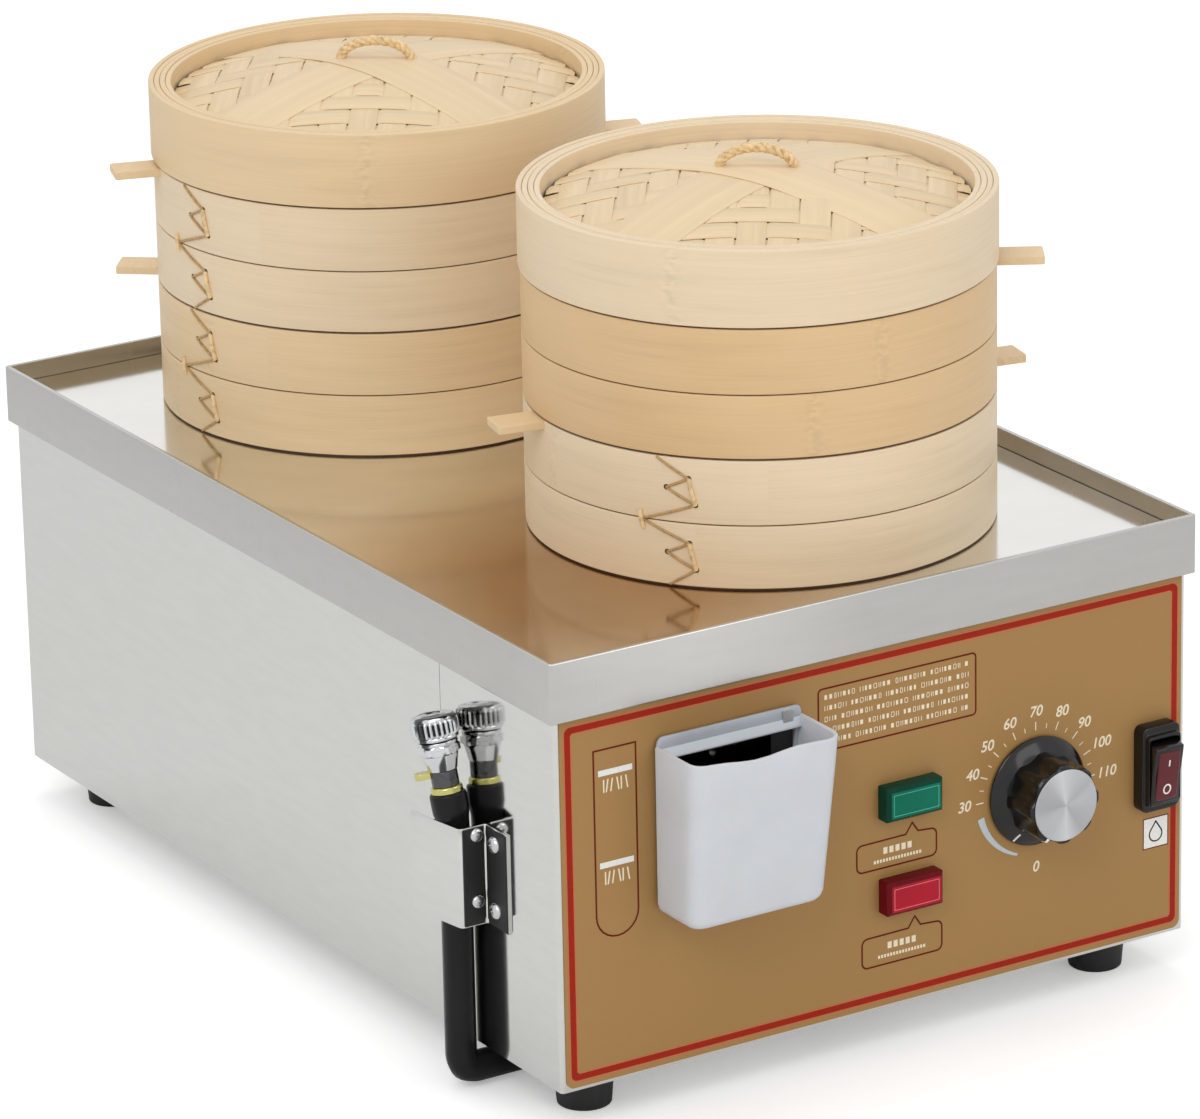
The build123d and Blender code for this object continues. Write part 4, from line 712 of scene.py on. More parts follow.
def dress(material, *nodes):
    """Give nodes of the frame a finish."""
    for node in nodes:
        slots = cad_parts[node].data.materials
        slots.clear()
        slots.append(finish(material))


FRONT_PLACE = Matrix.Translation((0, FRONT_Y, 0)) @ Matrix(
    ((1, 0, 0, 0), (0, 0, -1, 0), (0, 1, 0, 0), (0, 0, 0, 1))
)


def facing(x, z):
    """Give a place on the front, whose upright points out of it."""
    return FRONT_PLACE @ Matrix.Translation((x, z, 0))


# Stage


class STEAMER_OT_stage(bpy.types.Operator):
    """Lay the floor, set the lamps and the sky, and place the camera"""

    bl_idname = "steamer.stage"
    bl_label = "Stage"

    # In metres: each lamp's place and size, and its share of the key lamp's power
    lamps = {
        "key_lamp": ((-1.9, -1.6, 2.3), 1.6, 1.0),
        "front_lamp": ((0.9, -2.9, 1.2), 1.4, 0.45),
        "top_lamp": ((0.1, 0.4, 2.8), 1.6, 0.55),
    }
    lamp_aim = Vector((0, 0, 0.2))
    camera_place = (-1.63389, -2.69782, 1.28269)
    floor_glow = 0.3

    def execute(self, context):
        stage = settings("stage")
        self.lay_floor(stage)
        self.set_sky(stage)
        self.hang_lamps(stage)
        self.place_camera(stage)
        context.scene.view_settings.view_transform = "Standard"
        return {"FINISHED"}

    def lay_floor(self, stage):
        """The floor glows a little for camera rays only, so that it meets the white sky."""
        shape = bmesh.new()
        bmesh.ops.create_grid(shape, x_segments=8, y_segments=8, size=stage.floor_size / 2)
        mesh = bpy.data.meshes.new("floor")
        shape.to_mesh(mesh)
        shape.free()
        floor = show("floor", mesh)
        paper = Finish("studio_floor", stage.floor_colour, 0.9, Specular_IOR_Level=0.0)
        paper.paint(paper.ramp(paper.noise(3, detail=1), (0.3, 0.995), (0.7, 1.0)))
        rays = paper.add("ShaderNodeLightPath")
        glow = paper.add("ShaderNodeMath", operation="MULTIPLY")
        glow.inputs[1].default_value = self.floor_glow
        paper.join(rays.outputs["Is Camera Ray"], glow.inputs[0])
        paper.set("Emission Color", (1, 1, 1, 1))
        paper.join(glow.outputs["Value"], paper.shader.inputs["Emission Strength"])
        mesh.materials.append(paper.material)

    def set_sky(self, stage):
        """The sky lights the steamer softly, and is white where it is seen or mirrored."""
        world = bpy.context.scene.world = bpy.data.worlds.new("studio_sky")
        world.use_nodes = True
        tree = world.node_tree
        make, join = tree.nodes.new, tree.links.new
        light, seen = tree.nodes["Background"], make("ShaderNodeBackground")
        for background in (light, seen):
            background.inputs["Color"].default_value = (1, 1, 1, 1)
        light.inputs["Strength"].default_value = stage.sky_strength
        rays, choice = make("ShaderNodeLightPath"), make("ShaderNodeMixShader")
        factor = rays.outputs["Is Camera Ray"]
        for kind in ("Is Glossy Ray", "Is Transmission Ray"):
            either = make("ShaderNodeMath")
            either.operation = "MAXIMUM"
            join(factor, either.inputs[0])
            join(rays.outputs[kind], either.inputs[1])
            factor = either.outputs["Value"]
        join(factor, choice.inputs["Fac"])
        join(light.outputs["Background"], choice.inputs[1])
        join(seen.outputs["Background"], choice.inputs[2])
        join(choice.outputs["Shader"], tree.nodes["World Output"].inputs["Surface"])

    def hang_lamps(self, stage):
        for name, (place, size, share) in self.lamps.items():
            lamp = bpy.data.lights.new(name, "AREA")
            lamp.shape = "SQUARE"
            lamp.size = size
            lamp.energy = stage.key_power * share
            hung = show(name, lamp)
            hung.location = place
            aim = self.lamp_aim - hung.location
            hung.rotation_euler = aim.to_track_quat("-Z", "Y").to_euler()

    def place_camera(self, stage):
        photo_camera = bpy.data.cameras.new("photo_camera")
        photo_camera.lens = stage.lens
        photo_camera.sensor_width = 36
        photo_camera.sensor_fit = "HORIZONTAL"
        photo_camera.clip_start, photo_camera.clip_end = 0.05, 60
        holder = show("photo_camera", photo_camera)
        turn, lift, roll = stage.azimuth, stage.elevation, stage.roll
        back = Vector((sin(turn) * cos(lift), -cos(turn) * cos(lift), sin(lift)))
        right = (-back).cross(Vector((0, 0, 1))).normalized()
        up = right.cross(-back)
        tilted_right = right * cos(roll) + up * sin(roll)
        tilted_up = up * cos(roll) - right * sin(roll)
        axes = Matrix((tilted_right, tilted_up, back)).transposed()
        holder.rotation_euler = axes.to_euler()
        holder.location = self.camera_place
        bpy.context.scene.camera = holder


# Cabinet


class STEAMER_OT_sheet_metal(bpy.types.Operator):
    """Finish the cabinet's sheets and fold the top rim"""

    bl_idname = "steamer.sheet_metal"
    bl_label = "Sheet metal"

    def execute(self, context):
        dress(
            "polished_steel", "front_panel", "rear_wrap", "base_plate", "water_tank", "tank_deck",
            "filler_duct", "steam_collars", "element_rests", "drain_outlet", "hopper_clip",
        )
        dress("plate_steel", "steam_plate")
        dress("element_steel", "heating_element")
        dress("brass_fitting", "element_nuts")
        dress("copper_tube", "thermostat_probe")
        dress("grey_plastic", "terminal_block", "thermostat_body", "power_lamp_body",
              "heating_lamp_body")
        dress("plated_steel", "foot_screws", "thermostat_nut", "thermostat_spindle")
        self.fold_rim()
        self.drive_rear_screws()
        return {"FINISHED"}

    def fold_rim(self):
        """The skirt, hem, well wall and ledge are one sheet with soft folds."""
        low, high = ends("top_frame")
        ledge, well, shelf = PLATE_TOP - SHEET, 2 * SHEET, 17.0
        section = [
            (0, low.z), (0, high.z), (well, high.z), (well, ledge), (shelf, ledge),
            (shelf, ledge - SHEET), (SHEET, ledge - SHEET), (SHEET, low.z),
        ]
        shape = bmesh.new()
        loft(shape, [
            rounded_box(Matrix(), high.x - inset, high.y - inset, 1.6 - min(inset, 1.5), level)
            for inset, level in soften(section, 0.55)
        ], joined=True)
        make_piece("top_rim", shape, "rim_steel", "cabinet", "top_frame", slot="polished_steel")

    def drive_rear_screws(self):
        """Two pan heads hold the base plate to the rear wall."""
        for side, x in (("left", -140), ("right", 140)):
            place = Matrix.Translation((x, REAR_Y, 27.5)) @ Matrix.Rotation(-pi / 2, 4, "X")
            make_pan_head(f"rear_screw_{side}", place)


def make_pan_head(name, place, radius=3.6, height=2.2):
    """Make a domed screw head with a crossed recess."""
    rings = [
        ring(place, height * high,
             lambda turn: radius * wide * (1 - cross + cross * cos(4 * turn)), 32)
        for wide, high, cross in (
            (1, 0, 0), (1, 0.35, 0), (0.86, 0.72, 0), (0.6, 0.93, 0), (0.3, 1, 0.25),
            (0.14, 0.55, 0),
        )
    ]
    return make_block(name, rings, "plated_steel", "cabinet", slot="plated_steel")


class Print:
    """Flat printed shapes of one colour, laid just proud of the fascia."""

    def __init__(self, level):
        self.shape = bmesh.new()
        self.level = FASCIA_FACE + level

    def at(self, x, z):
        return Vector((x, FRONT_Y - self.level, z))

    def line(self, points, width, closed=False):
        """Draw a line of even width along points of the fascia."""
        spots = [Vector(point) for point in points]
        count = len(spots)
        edges = []
        for place, spot in enumerate(spots):
            before = spots[place - 1] if closed or place else None
            after = spots[(place + 1) % count] if closed or place < count - 1 else None
            ahead = (after - spot).normalized() if after is not None else None
            behind = (spot - before).normalized() if before is not None else ahead
            ahead = ahead or behind
            along = (ahead + behind).normalized()
            normal = Vector((-along.y, along.x))
            stretch = width / 2 / max(0.4, abs(normal.dot(Vector((-ahead.y, ahead.x)))))
            edges.append([self.at(*(spot + normal * side * stretch)) for side in (-1, 1)])
        loft(self.shape, edges, looped=False, joined=closed)

    def patch(self, points):
        """Fill an outline."""
        self.shape.faces.new([self.shape.verts.new(self.at(*point)) for point in points])

    def box(self, left, low, right, high):
        """Fill a rectangle."""
        self.patch(((left, low), (right, low), (right, high), (left, high)))

    def figure(self, words, x, z, size):
        """Print figures centred on a point."""
        text = bpy.data.curves.new("figure", "FONT")
        text.body = words
        text.size = size
        text.shear = 0.18
        text.offset = 0.13
        text.align_x = "CENTER"
        text.align_y = "CENTER"
        holder = bpy.data.objects.new("figure", text)
        outline = bpy.data.meshes.new_from_object(holder)
        before = len(self.shape.verts)
        self.shape.from_mesh(outline)
        self.shape.verts.ensure_lookup_table()
        for vertex in self.shape.verts[before:]:
            vertex.co = self.at(x + vertex.co.x, z + vertex.co.y)
        bpy.data.objects.remove(holder)
        bpy.data.curves.remove(text)
        bpy.data.meshes.remove(outline)

    def finish(self, name, ink):
        make_piece(name, self.shape, ink, "cabinet")


def rounded_outline(left, low, right, high, radius, steps=6):
    """Give the outline of a rounded rectangle on the fascia."""
    middle = Vector(((left + right) / 2, (low + high) / 2))
    points = rounded_box(Matrix(), (right - left) / 2, (high - low) / 2, radius, 0, steps)
    return [middle + point.xy for point in points]


class STEAMER_OT_fascia(bpy.types.Operator):
    """Coat the fascia and print its border, scale, outlines and strokes"""

    bl_idname = "steamer.fascia"
    bl_label = "Fascia print"

    dial = middle_of("thermostat_spindle")

    def execute(self, context):
        cabinet = settings("cabinet")
        dress("gold_fascia", "control_fascia")
        self.print_border(cabinet)
        self.print_outlines(cabinet)
        self.print_strokes()
        self.print_scale(cabinet)
        self.print_drop()
        return {"FINISHED"}

    def print_border(self, cabinet):
        border = rounded_outline(-165, 27.5, 165, 193.5, 1.5)
        halo, line = Print(0.05), Print(0.1)
        halo.line(border, cabinet.border_width / MM + 1.3, True)
        line.line(border, cabinet.border_width / MM, True)
        halo.finish("border_halo", "halo_ink")
        line.finish("border_line", "border_ink")

    def print_outlines(self, cabinet):
        thin = Print(0.08)
        width = cabinet.outline_width / MM
        gauge = [(-129.7, 181), (-151.7, 181), (-151.7, 102)]
        gauge += [(-140.7 - 11 * cos(pi * step / 12), 102 - 11 * sin(pi * step / 12))
                  for step in range(1, 12)]
        thin.line(gauge + [(-129.7, 102)], width, True)
        thin.line(rounded_outline(-32.8, 154.5, 53.1, 184.5, 2), width, True)
        for left, low, right, high, tip_x, tip_z in (
            (-12.7, 90.6, 31.1, 104, 17.8, 109.3), (-10.2, 43, 33.9, 57.5, 18.9, 62.9)
        ):
            bubble = rounded_outline(left, low, right, high, 3)
            start = next(place for place, point in enumerate(bubble)
                         if point.y > high - 0.01 and point.x < tip_x)
            bubble[start:start] = [
                Vector((tip_x + 3.2, high + 0.6)), Vector((tip_x, tip_z)),
                Vector((tip_x - 3.6, high + 0.2)),
            ]
            thin.line(bubble, width, True)
        thin.finish("thin_outlines", "outline_ink")

    def print_strokes(self):
        """Print rows of short plain strokes, and the two bars of the gauge."""
        pale, white = Print(0.07), Print(0.07)
        left, right, top, spacing = -29.5, 49.5, 180.2, 5.3
        for row in range(5):
            x, z = left, top - row * spacing
            place = 0
            while x < right:
                place += 1
                width = 1.1 + 0.9 * abs(sin(7.3 * place + 3.1 * row))
                pause = 2.6 if (place + 2 * row) % 7 == 0 else 0.8
                self.stroke(pale, x, z, width, (3 * place + row) % 4)
                x += width + pause
        for middle, z, count, size in (
            (9.6, 98.9, 5, 1.9), (11.6, 51.9, 5, 1.9), (9.6, 94.2, 16, 0.95), (11.6, 47.1, 16, 0.95)
        ):
            for place in range(count):
                x = middle + (place - (count - 1) / 2) * size * 1.75
                pale.box(x - size * 0.6, z - size * 0.85, x + size * 0.6, z + size * 0.85)
        for z in (169.9, 126.0):
            white.box(-149.4, z - 1.4, -131.6, z + 1.4)
            for place, lean in enumerate((0, 1, 1, -1, 0, -1)):
                x = -146.6 + place * 2.3
                pale.line([(x, z - 3.2), (x - lean, z - 9.4)], 0.75)
        pale.finish("pale_strokes", "scale_ink")
        white.finish("gauge_bars", "white_ink")

    def stroke(self, ink, x, z, width, kind):
        """Lay one small stroke: two bars, a frame, or a block."""
        if kind == 0:
            ink.line([(x + 0.2, z - 1.2), (x + 0.2, z + 1.2)], 0.4)
            ink.line([(x + width - 0.2, z - 1.2), (x + width - 0.2, z + 1.2)], 0.4)
        elif kind == 1:
            box = rounded_outline(x + 0.2, z - 1.1, x + width - 0.2, z + 1.1, 0.2, 1)
            ink.line(box, 0.35, True)
        else:
            ink.box(x, z - 1.1, x + width * 0.8, z + 1.1)

    def spot(self, reach, turn):
        """Give a point of the scale, by its reach from the dial and its angle in degrees."""
        return self.dial.xz + reach * Vector((cos(radians(turn)), sin(radians(turn))))

    def print_scale(self, cabinet):
        scale, sweep = Print(0.07), Print(0.07)
        size = cabinet.figure_height / MM
        for place in range(9):
            turn = 180 - 22.5 * place
            scale.line([self.spot(29.2, turn), self.spot(33.4, turn)], 0.6)
            reach = 38.4 + (1.6 if place in (0, 7, 8) else 0)
            scale.figure(str(30 + 10 * place), *self.spot(reach, turn), size)
            if place < 8:
                scale.line([self.spot(29.6, turn - 11.25), self.spot(32, turn - 11.25)], 0.45)
        scale.figure("0", *self.spot(38.4, 270), size)
        arc = [self.spot(31.6, turn) for turn in range(194, 252, 3)]
        for place, (start, end) in enumerate(zip(arc, arc[1:])):
            sweep.line([start, end], 3.6 - 0.13 * place)
        scale.finish("dial_scale", "scale_ink")
        sweep.finish("dial_sweep", "ramp_ink")

    def print_drop(self):
        """A plain drop in a square marks the splash-proof switch."""
        white, edge, black = Print(0.07), Print(0.1), Print(0.12)
        square = ((148, 66), (162, 66), (162, 81), (148, 81))
        white.patch(square)
        edge.line(square, 0.5, True)
        turns = [radians(150 + 12 * step) for step in range(21)]
        drop = [(155 + 3.6 * cos(turn), 72.6 + 3.6 * sin(turn)) for turn in turns]
        black.line(drop + [(155, 79)], 0.7, True)
        white.finish("drop_square", "white_ink")
        edge.finish("drop_square_edge", "outline_ink")
        black.finish("drop_mark", "black_ink")


# Controls


class STEAMER_OT_hopper(bpy.types.Operator):
    """Mould the translucent filling hopper with its wavy lip"""

    bl_idname = "steamer.hopper"
    bl_label = "Hopper"

    def execute(self, context):
        self.low, self.high = ends("water_hopper")
        walls = [self.wall(level, inset, 0) for level, inset in (
            (0, 9), (0, 5), (0.9, 2.4), (2.6, 0.8), (5.2, 0), (24, 0), (45, 0), (62, 0)
        )]
        walls += [self.lip(0), self.lip(0.5, 0.55), self.lip(1.5, 0.55), self.lip(2.0)]
        walls += [self.wall(level, inset, 2.0) for level, inset in (
            (62, 0), (45, 0), (24, 0), (7, 0), (4.4, 0.8), (2.7, 2.4), (2, 5), (2, 9)
        )]
        shape = bmesh.new()
        loft(shape, walls, looped=False, first=True, last=True)
        make_piece("filling_hopper", shape, "milky_plastic", "cabinet", "water_hopper",
                   slot="milky_plastic", sharp=50)
        self.add_flange()
        dress("black_rubber", "hopper_gasket")
        return {"FINISHED"}

    def outline(self, share, inset):
        """Give the hopper's outline from above, open at the back, at a share of its height."""
        left = self.low.x - 1.0 + inset
        right = self.high.x + 3.6 - 7.0 * (1 - share) - inset
        reach = (32.9 + 4.0 * share) - inset
        back = 3.0
        line = [(left, back), (left, reach), (right, reach), (right, back)]
        corners = soften(line, max(9.0 - inset, 2.0), 7, closed=False)
        straights = (0, 8, 16)
        points = []
        for place, (start, end) in enumerate(zip(corners, corners[1:])):
            steps = 8 if place in straights else 1
            points += [start.lerp(end, step / steps) for step in range(steps)]
        return points + [corners[-1]]

    def wave(self, x):
        """Give the height of the lip across the hopper."""
        level = 175.0
        share = (x - self.low.x) / (self.high.x - self.low.x)
        return level + 1.6 * abs(2 * share - 1) ** 3 + 0.9 * sin(3.4 * pi * share + 0.1)

    def wall(self, level, inset, thickness):
        height = self.high.z - self.low.z
        z = self.low.z - 1.8 + level
        return [Vector((point.x, FRONT_Y - point.y, z))
                for point in self.outline(level / height, inset + thickness)]

    def lip(self, inset, rise=0.0):
        return [Vector((point.x, FRONT_Y - point.y, self.wave(point.x) + rise))
                for point in self.outline(0.96, inset)]

    def add_flange(self):
        """The flange is a frame of white plastic, coloured grey as painted shade, with a white
        ledge; black gasket shows inside it.
        """
        middle, size = (self.low + self.high) / 2, self.high - self.low
        half_width, half_height = size.x / 2, size.z / 2
        flange, skirt = bmesh.new(), bmesh.new()
        rings = []
        for share, level in soften([(0, 1.5), (0, 3.5), (1, 3.5), (1, 1.5)], 0.5):
            points = rounded_box(facing(middle.x + 1.4, middle.z), half_width + 1.4 - share * 2.8,
                                 half_height - share * 7.8, 3.0 - 2 * share, level)
            for point in points:
                height = (point.z - self.low.z) / size.z
                point.x -= 8.0 * (1 - height) * (point.x - self.low.x) / size.x
                point.z += max(0.0, (height - 0.95) / 0.05) * 2.2 * (1 - share)
            rings.append(points)
        loft(flange, rings, joined=True)
        make_piece("hopper_flange", flange, "hopper_painted_shade", "cabinet", slot="milky_plastic")
        outline = soften([(3.3, -3.2), (3.7, -3.2), (5.6, -6.8), (5.6, -7.7), (3.3, -7.7)], 0.3, 2)
        ledge = [[Vector((x, FRONT_Y - point.x, self.high.z + point.y)) for point in outline]
                 for x in (self.low.x + 0.6, self.high.x + 1.6)]
        make_block("hopper_ledge", ledge, "milky_plastic", "cabinet", slot="milky_plastic")
        low, high = ends("filler_duct")
        window = facing((low.x + high.x) / 2, (low.z + high.z) / 2)
        wide, tall = (high.x - low.x) / 2, (high.z - low.z) / 2
        outside = (size.x - 1.4) / 2
        around = facing(self.low.x + 1.6 + outside, middle.z)
        for level, order in ((1.3, -1), (1.48, 1)):
            edges = [rounded_box(around, outside - 1.6, half_height - 6.5, 1.0, level),
                     rounded_box(window, wide - 2.1, tall - 2.1, 0.5, level)]
            loft(skirt, edges[::order])
        make_piece("gasket_skirt", skirt, "black_rubber", "cabinet", slot="black_rubber")


class STEAMER_OT_dial(bpy.types.Operator):
    """Mould the lobed dial with its spun cap and white pointer"""

    bl_idname = "steamer.dial"
    bl_label = "Dial"

    pointer_turn = 236
    outline_steps = 160

    def execute(self, context):
        middle = middle_of("thermostat_knob")
        place = facing(middle.x, middle.z)
        rings = turned(place, (
            (9, 1.2), (25.9, 1.2), (26.45, 1.7), (26.45, 2.5), (26.0, 3.1), (24.4, 3.9),
            (22.6, 5.0),
        ), self.outline_steps)
        rings += [self.lobed(place, shrink, level) for shrink, level in (
            (0.0, 6.0), (0.1, 12), (0.4, 19), (0.6, 22.6), (0.9, 23.7), (1.6, 24.4)
        )]
        rings += turned(place, ((17.6, 24.45), (17.4, 24.1)), self.outline_steps)
        make_block("dial_knob", rings, "black_plastic", "thermostat_knob", "thermostat_knob",
                   slot="black_plastic")
        cap = turned(place, (
            (17.3, 24.1), (17.3, 24.8), (17.0, 25.05), (16.2, 25.1), (8, 25.02), (0.6, 24.98)
        ), 96)
        make_block("dial_cap", cap, "spun_aluminium", "thermostat_knob", "knob_cap",
                   slot="spun_aluminium")
        self.add_pointer(place)
        return {"FINISHED"}

    def lobed(self, place, shrink, level):
        """Give the outline of the grip: shallow scallops between rounded lobes."""
        lobes = settings("controls").lobes
        grip, scallop_reach, scallop_radius, soft = 20.0, 27.4, sqrt(90), 2.4

        def reach_at(turn):
            off = abs((turn * lobes / tau) % 1.0 - 0.5) * tau / lobes
            bite = 1.5 * grip
            if scallop_reach * sin(off) < scallop_radius:
                bite = scallop_reach * cos(off) - sqrt(
                    scallop_radius**2 - (scallop_reach * sin(off)) ** 2
                )
            blend = max(0.0, 0.5 - abs(grip - bite) / soft)
            return min(grip, bite) - soft / 2 * blend * blend - shrink
        return ring(place, level, reach_at, self.outline_steps)

    def add_pointer(self, place):
        """The pointer is a white line down the grip, with a tick on the skirt."""
        shape = bmesh.new()
        place = place @ Matrix.Rotation(radians(self.pointer_turn - 270), 4, "Z")
        for half, run in (
            (0.7, ((24.62, 17.4), (24.62, 18.3), (23.9, 19.3), (21.0, 19.75))),
            (0.55, ((5.6, 21.6), (4.6, 23.4), (3.3, 25.9))),
        ):
            loft(shape, [[place @ Vector((side * half, -reach, level)) for side in (-1, 1)]
                         for level, reach in run], looped=False)
        make_piece("dial_pointer", shape, "white_ink", "thermostat_knob")


class STEAMER_OT_switch(bpy.types.Operator):
    """Mould the splash-proof switch frame, its rocker and the red window"""

    bl_idname = "steamer.switch"
    bl_label = "Switch"

    middle = Vector((152.9, 108.3))
    pivot = Vector((152.9, FRONT_Y - 4.0, 107.5))
    tilt = radians(8)

    def execute(self, context):
        soft = settings("controls").soft_edge / MM
        self.mould_frame(soft)
        self.mould_rocker()
        self.set_window()
        return {"FINISHED"}

    def mould_frame(self, soft):
        place = facing(*self.middle)
        half_width, half_height = 10.7, 21.15
        section = [(0, -12), (0, 7.5), (1.5, 7.5), (1.6, 10.5), (2.35, 10.5), (2.35, -3.4)]
        rings = []
        for inset, level in soften(section, soft, closed=False):
            behind = level < 0.4 and inset < 1
            wide = 9.3 if behind else half_width - inset + (0.05 if inset > 1.55 else 0)
            tall = 17.4 if behind else half_height - inset * 2.42
            radius = 1.5 if behind or inset > 2 else 3.4 - inset
            rings.append(rounded_box(place, wide, tall, radius, level))
        rings.insert(1, rounded_box(place, half_width, half_height, 3.5, 0.55))
        make_block("switch_frame", rings, "switch_cover", "cabinet", "switch_housing",
                   slot="switch_cover")

    def rocker_place(self):
        """Give the rocker's own place: across it, up along its face, and out of it."""
        out = Vector((0, -cos(self.tilt), -sin(self.tilt)))
        along = Vector((0, -sin(self.tilt), cos(self.tilt)))
        axes = Matrix((Vector((1, 0, 0)), along, out)).transposed().to_4x4()
        return Matrix.Translation(self.pivot) @ axes

    def mould_rocker(self):
        place = self.rocker_place()
        profile = soften([
            (-13.6, -5), (-15.1, 1.5), (-14.6, 9.0), (-8, 8.85), (0, 8.35), (8, 8.85), (14.6, 9.0),
            (15.1, 1.5), (13.6, -5),
        ], 0.9, closed=False)
        rings = [
            [place @ Vector((across, point.x * (1 - shrink / 18), point.y - shrink))
             for point in profile]
            for across, shrink in (
                (-8.1, 0.7), (-7.7, 0.2), (-7.0, 0), (7.0, 0), (7.7, 0.2), (8.1, 0.7)
            )
        ]
        make_block("rocker", rings, "black_plastic", "switch_rocker", "switch_rocker",
                   slot="black_plastic")

    def set_window(self):
        """The red strip carries a white bar and a white ring."""
        place = self.rocker_place()
        strip = pillow(place, 6.1, 12.4, 1.2, ((0, 8.2), (0, 9.1), (0.2, 9.25), (0.6, 9.3)))
        make_block("rocker_strip", strip, "red_window", "switch_rocker", "rocker_window",
                   slot="red_window")
        marks = bmesh.new()
        half_line, level, steps = 0.4, 9.36, 24
        bar = [Vector((0, 5.0)), Vector((0, 8.2))]
        hoop = [Vector((1.9 * cos(tau * step / steps), -7.0 + 2.3 * sin(tau * step / steps)))
                for step in range(steps)]
        for points, closed in ((bar, False), (hoop, True)):
            edges = []
            for point, follow in zip(points, points[1:] + points[:1]):
                along = follow - point if closed else bar[1] - bar[0]
                aside = Vector((-along.y, along.x)).normalized() * half_line
                edges.append([place @ Vector((*(point + aside * side), level))
                              for side in (-1, 1)])
            loft(marks, edges, looped=False, joined=closed)
        make_piece("rocker_marks", marks, "white_ink", "switch_rocker")


class STEAMER_OT_lamps(bpy.types.Operator):
    """Mould the two lamp lenses with a bevelled edge in painted shade, a sunken face and a line of
    painted highlight
    """

    bl_idname = "steamer.lamps"
    bl_label = "Lamps"

    def execute(self, context):
        for name, slot in (("power", "green_lens"), ("heating", "red_lens")):
            node = f"{name}_lamp_lens"
            low, high = ends(node)
            half_width, half_height = (high.x - low.x) / 2 + 0.8, (high.z - low.z) / 2 + 0.2
            place = facing((low.x + high.x) / 2 + 0.7, (low.z + high.z) / 2 - 0.6)
            # The edge is the lens colour darkened as painted shade
            section = soften([(0, 0.5), (0, 6.9), (1.8, 8.7), (4, 8.7)], 0.35, closed=False)
            make_block(f"{name}_lens", pillow(place, half_width, half_height, 0.8, section),
                       f"{slot}_edge", "cabinet", node, slot=slot)
            sunken = ((2.0, 8.5), (2.0, 8.76), (2.2, 8.8))
            make_block(f"{name}_lens_face", pillow(place, half_width, half_height, 0.6, sunken),
                       slot, "cabinet", slot=slot)
            # A lighter line round the face is a painted highlight
            line = bmesh.new()
            loft(line, pillow(place, half_width, half_height, 0.4, ((3.1, 8.84), (3.45, 8.84))))
            make_piece(f"{name}_lens_line", line, f"{slot}_line", "cabinet", slot=slot)
        return {"FINISHED"}


# Drain


OUTLET = Vector((-117, -182.5, 49))
VALVE_BASE = Vector((-180.1, -182.5, 126.0))
VALVE_AXIS = Vector((-0.067, 0.196, 0.978)).normalized()
CUFF_TOP = 18.0


def valve_place():
    """Give the place of the drain valve, whose upright is its axis."""
    toward = Vector((-0.85, 0.53, -0.16))
    side = (toward - VALVE_AXIS * toward.dot(VALVE_AXIS)).normalized()
    axes = Matrix((side, VALVE_AXIS.cross(side), VALVE_AXIS)).transposed().to_4x4()
    return Matrix.Translation(VALVE_BASE) @ axes


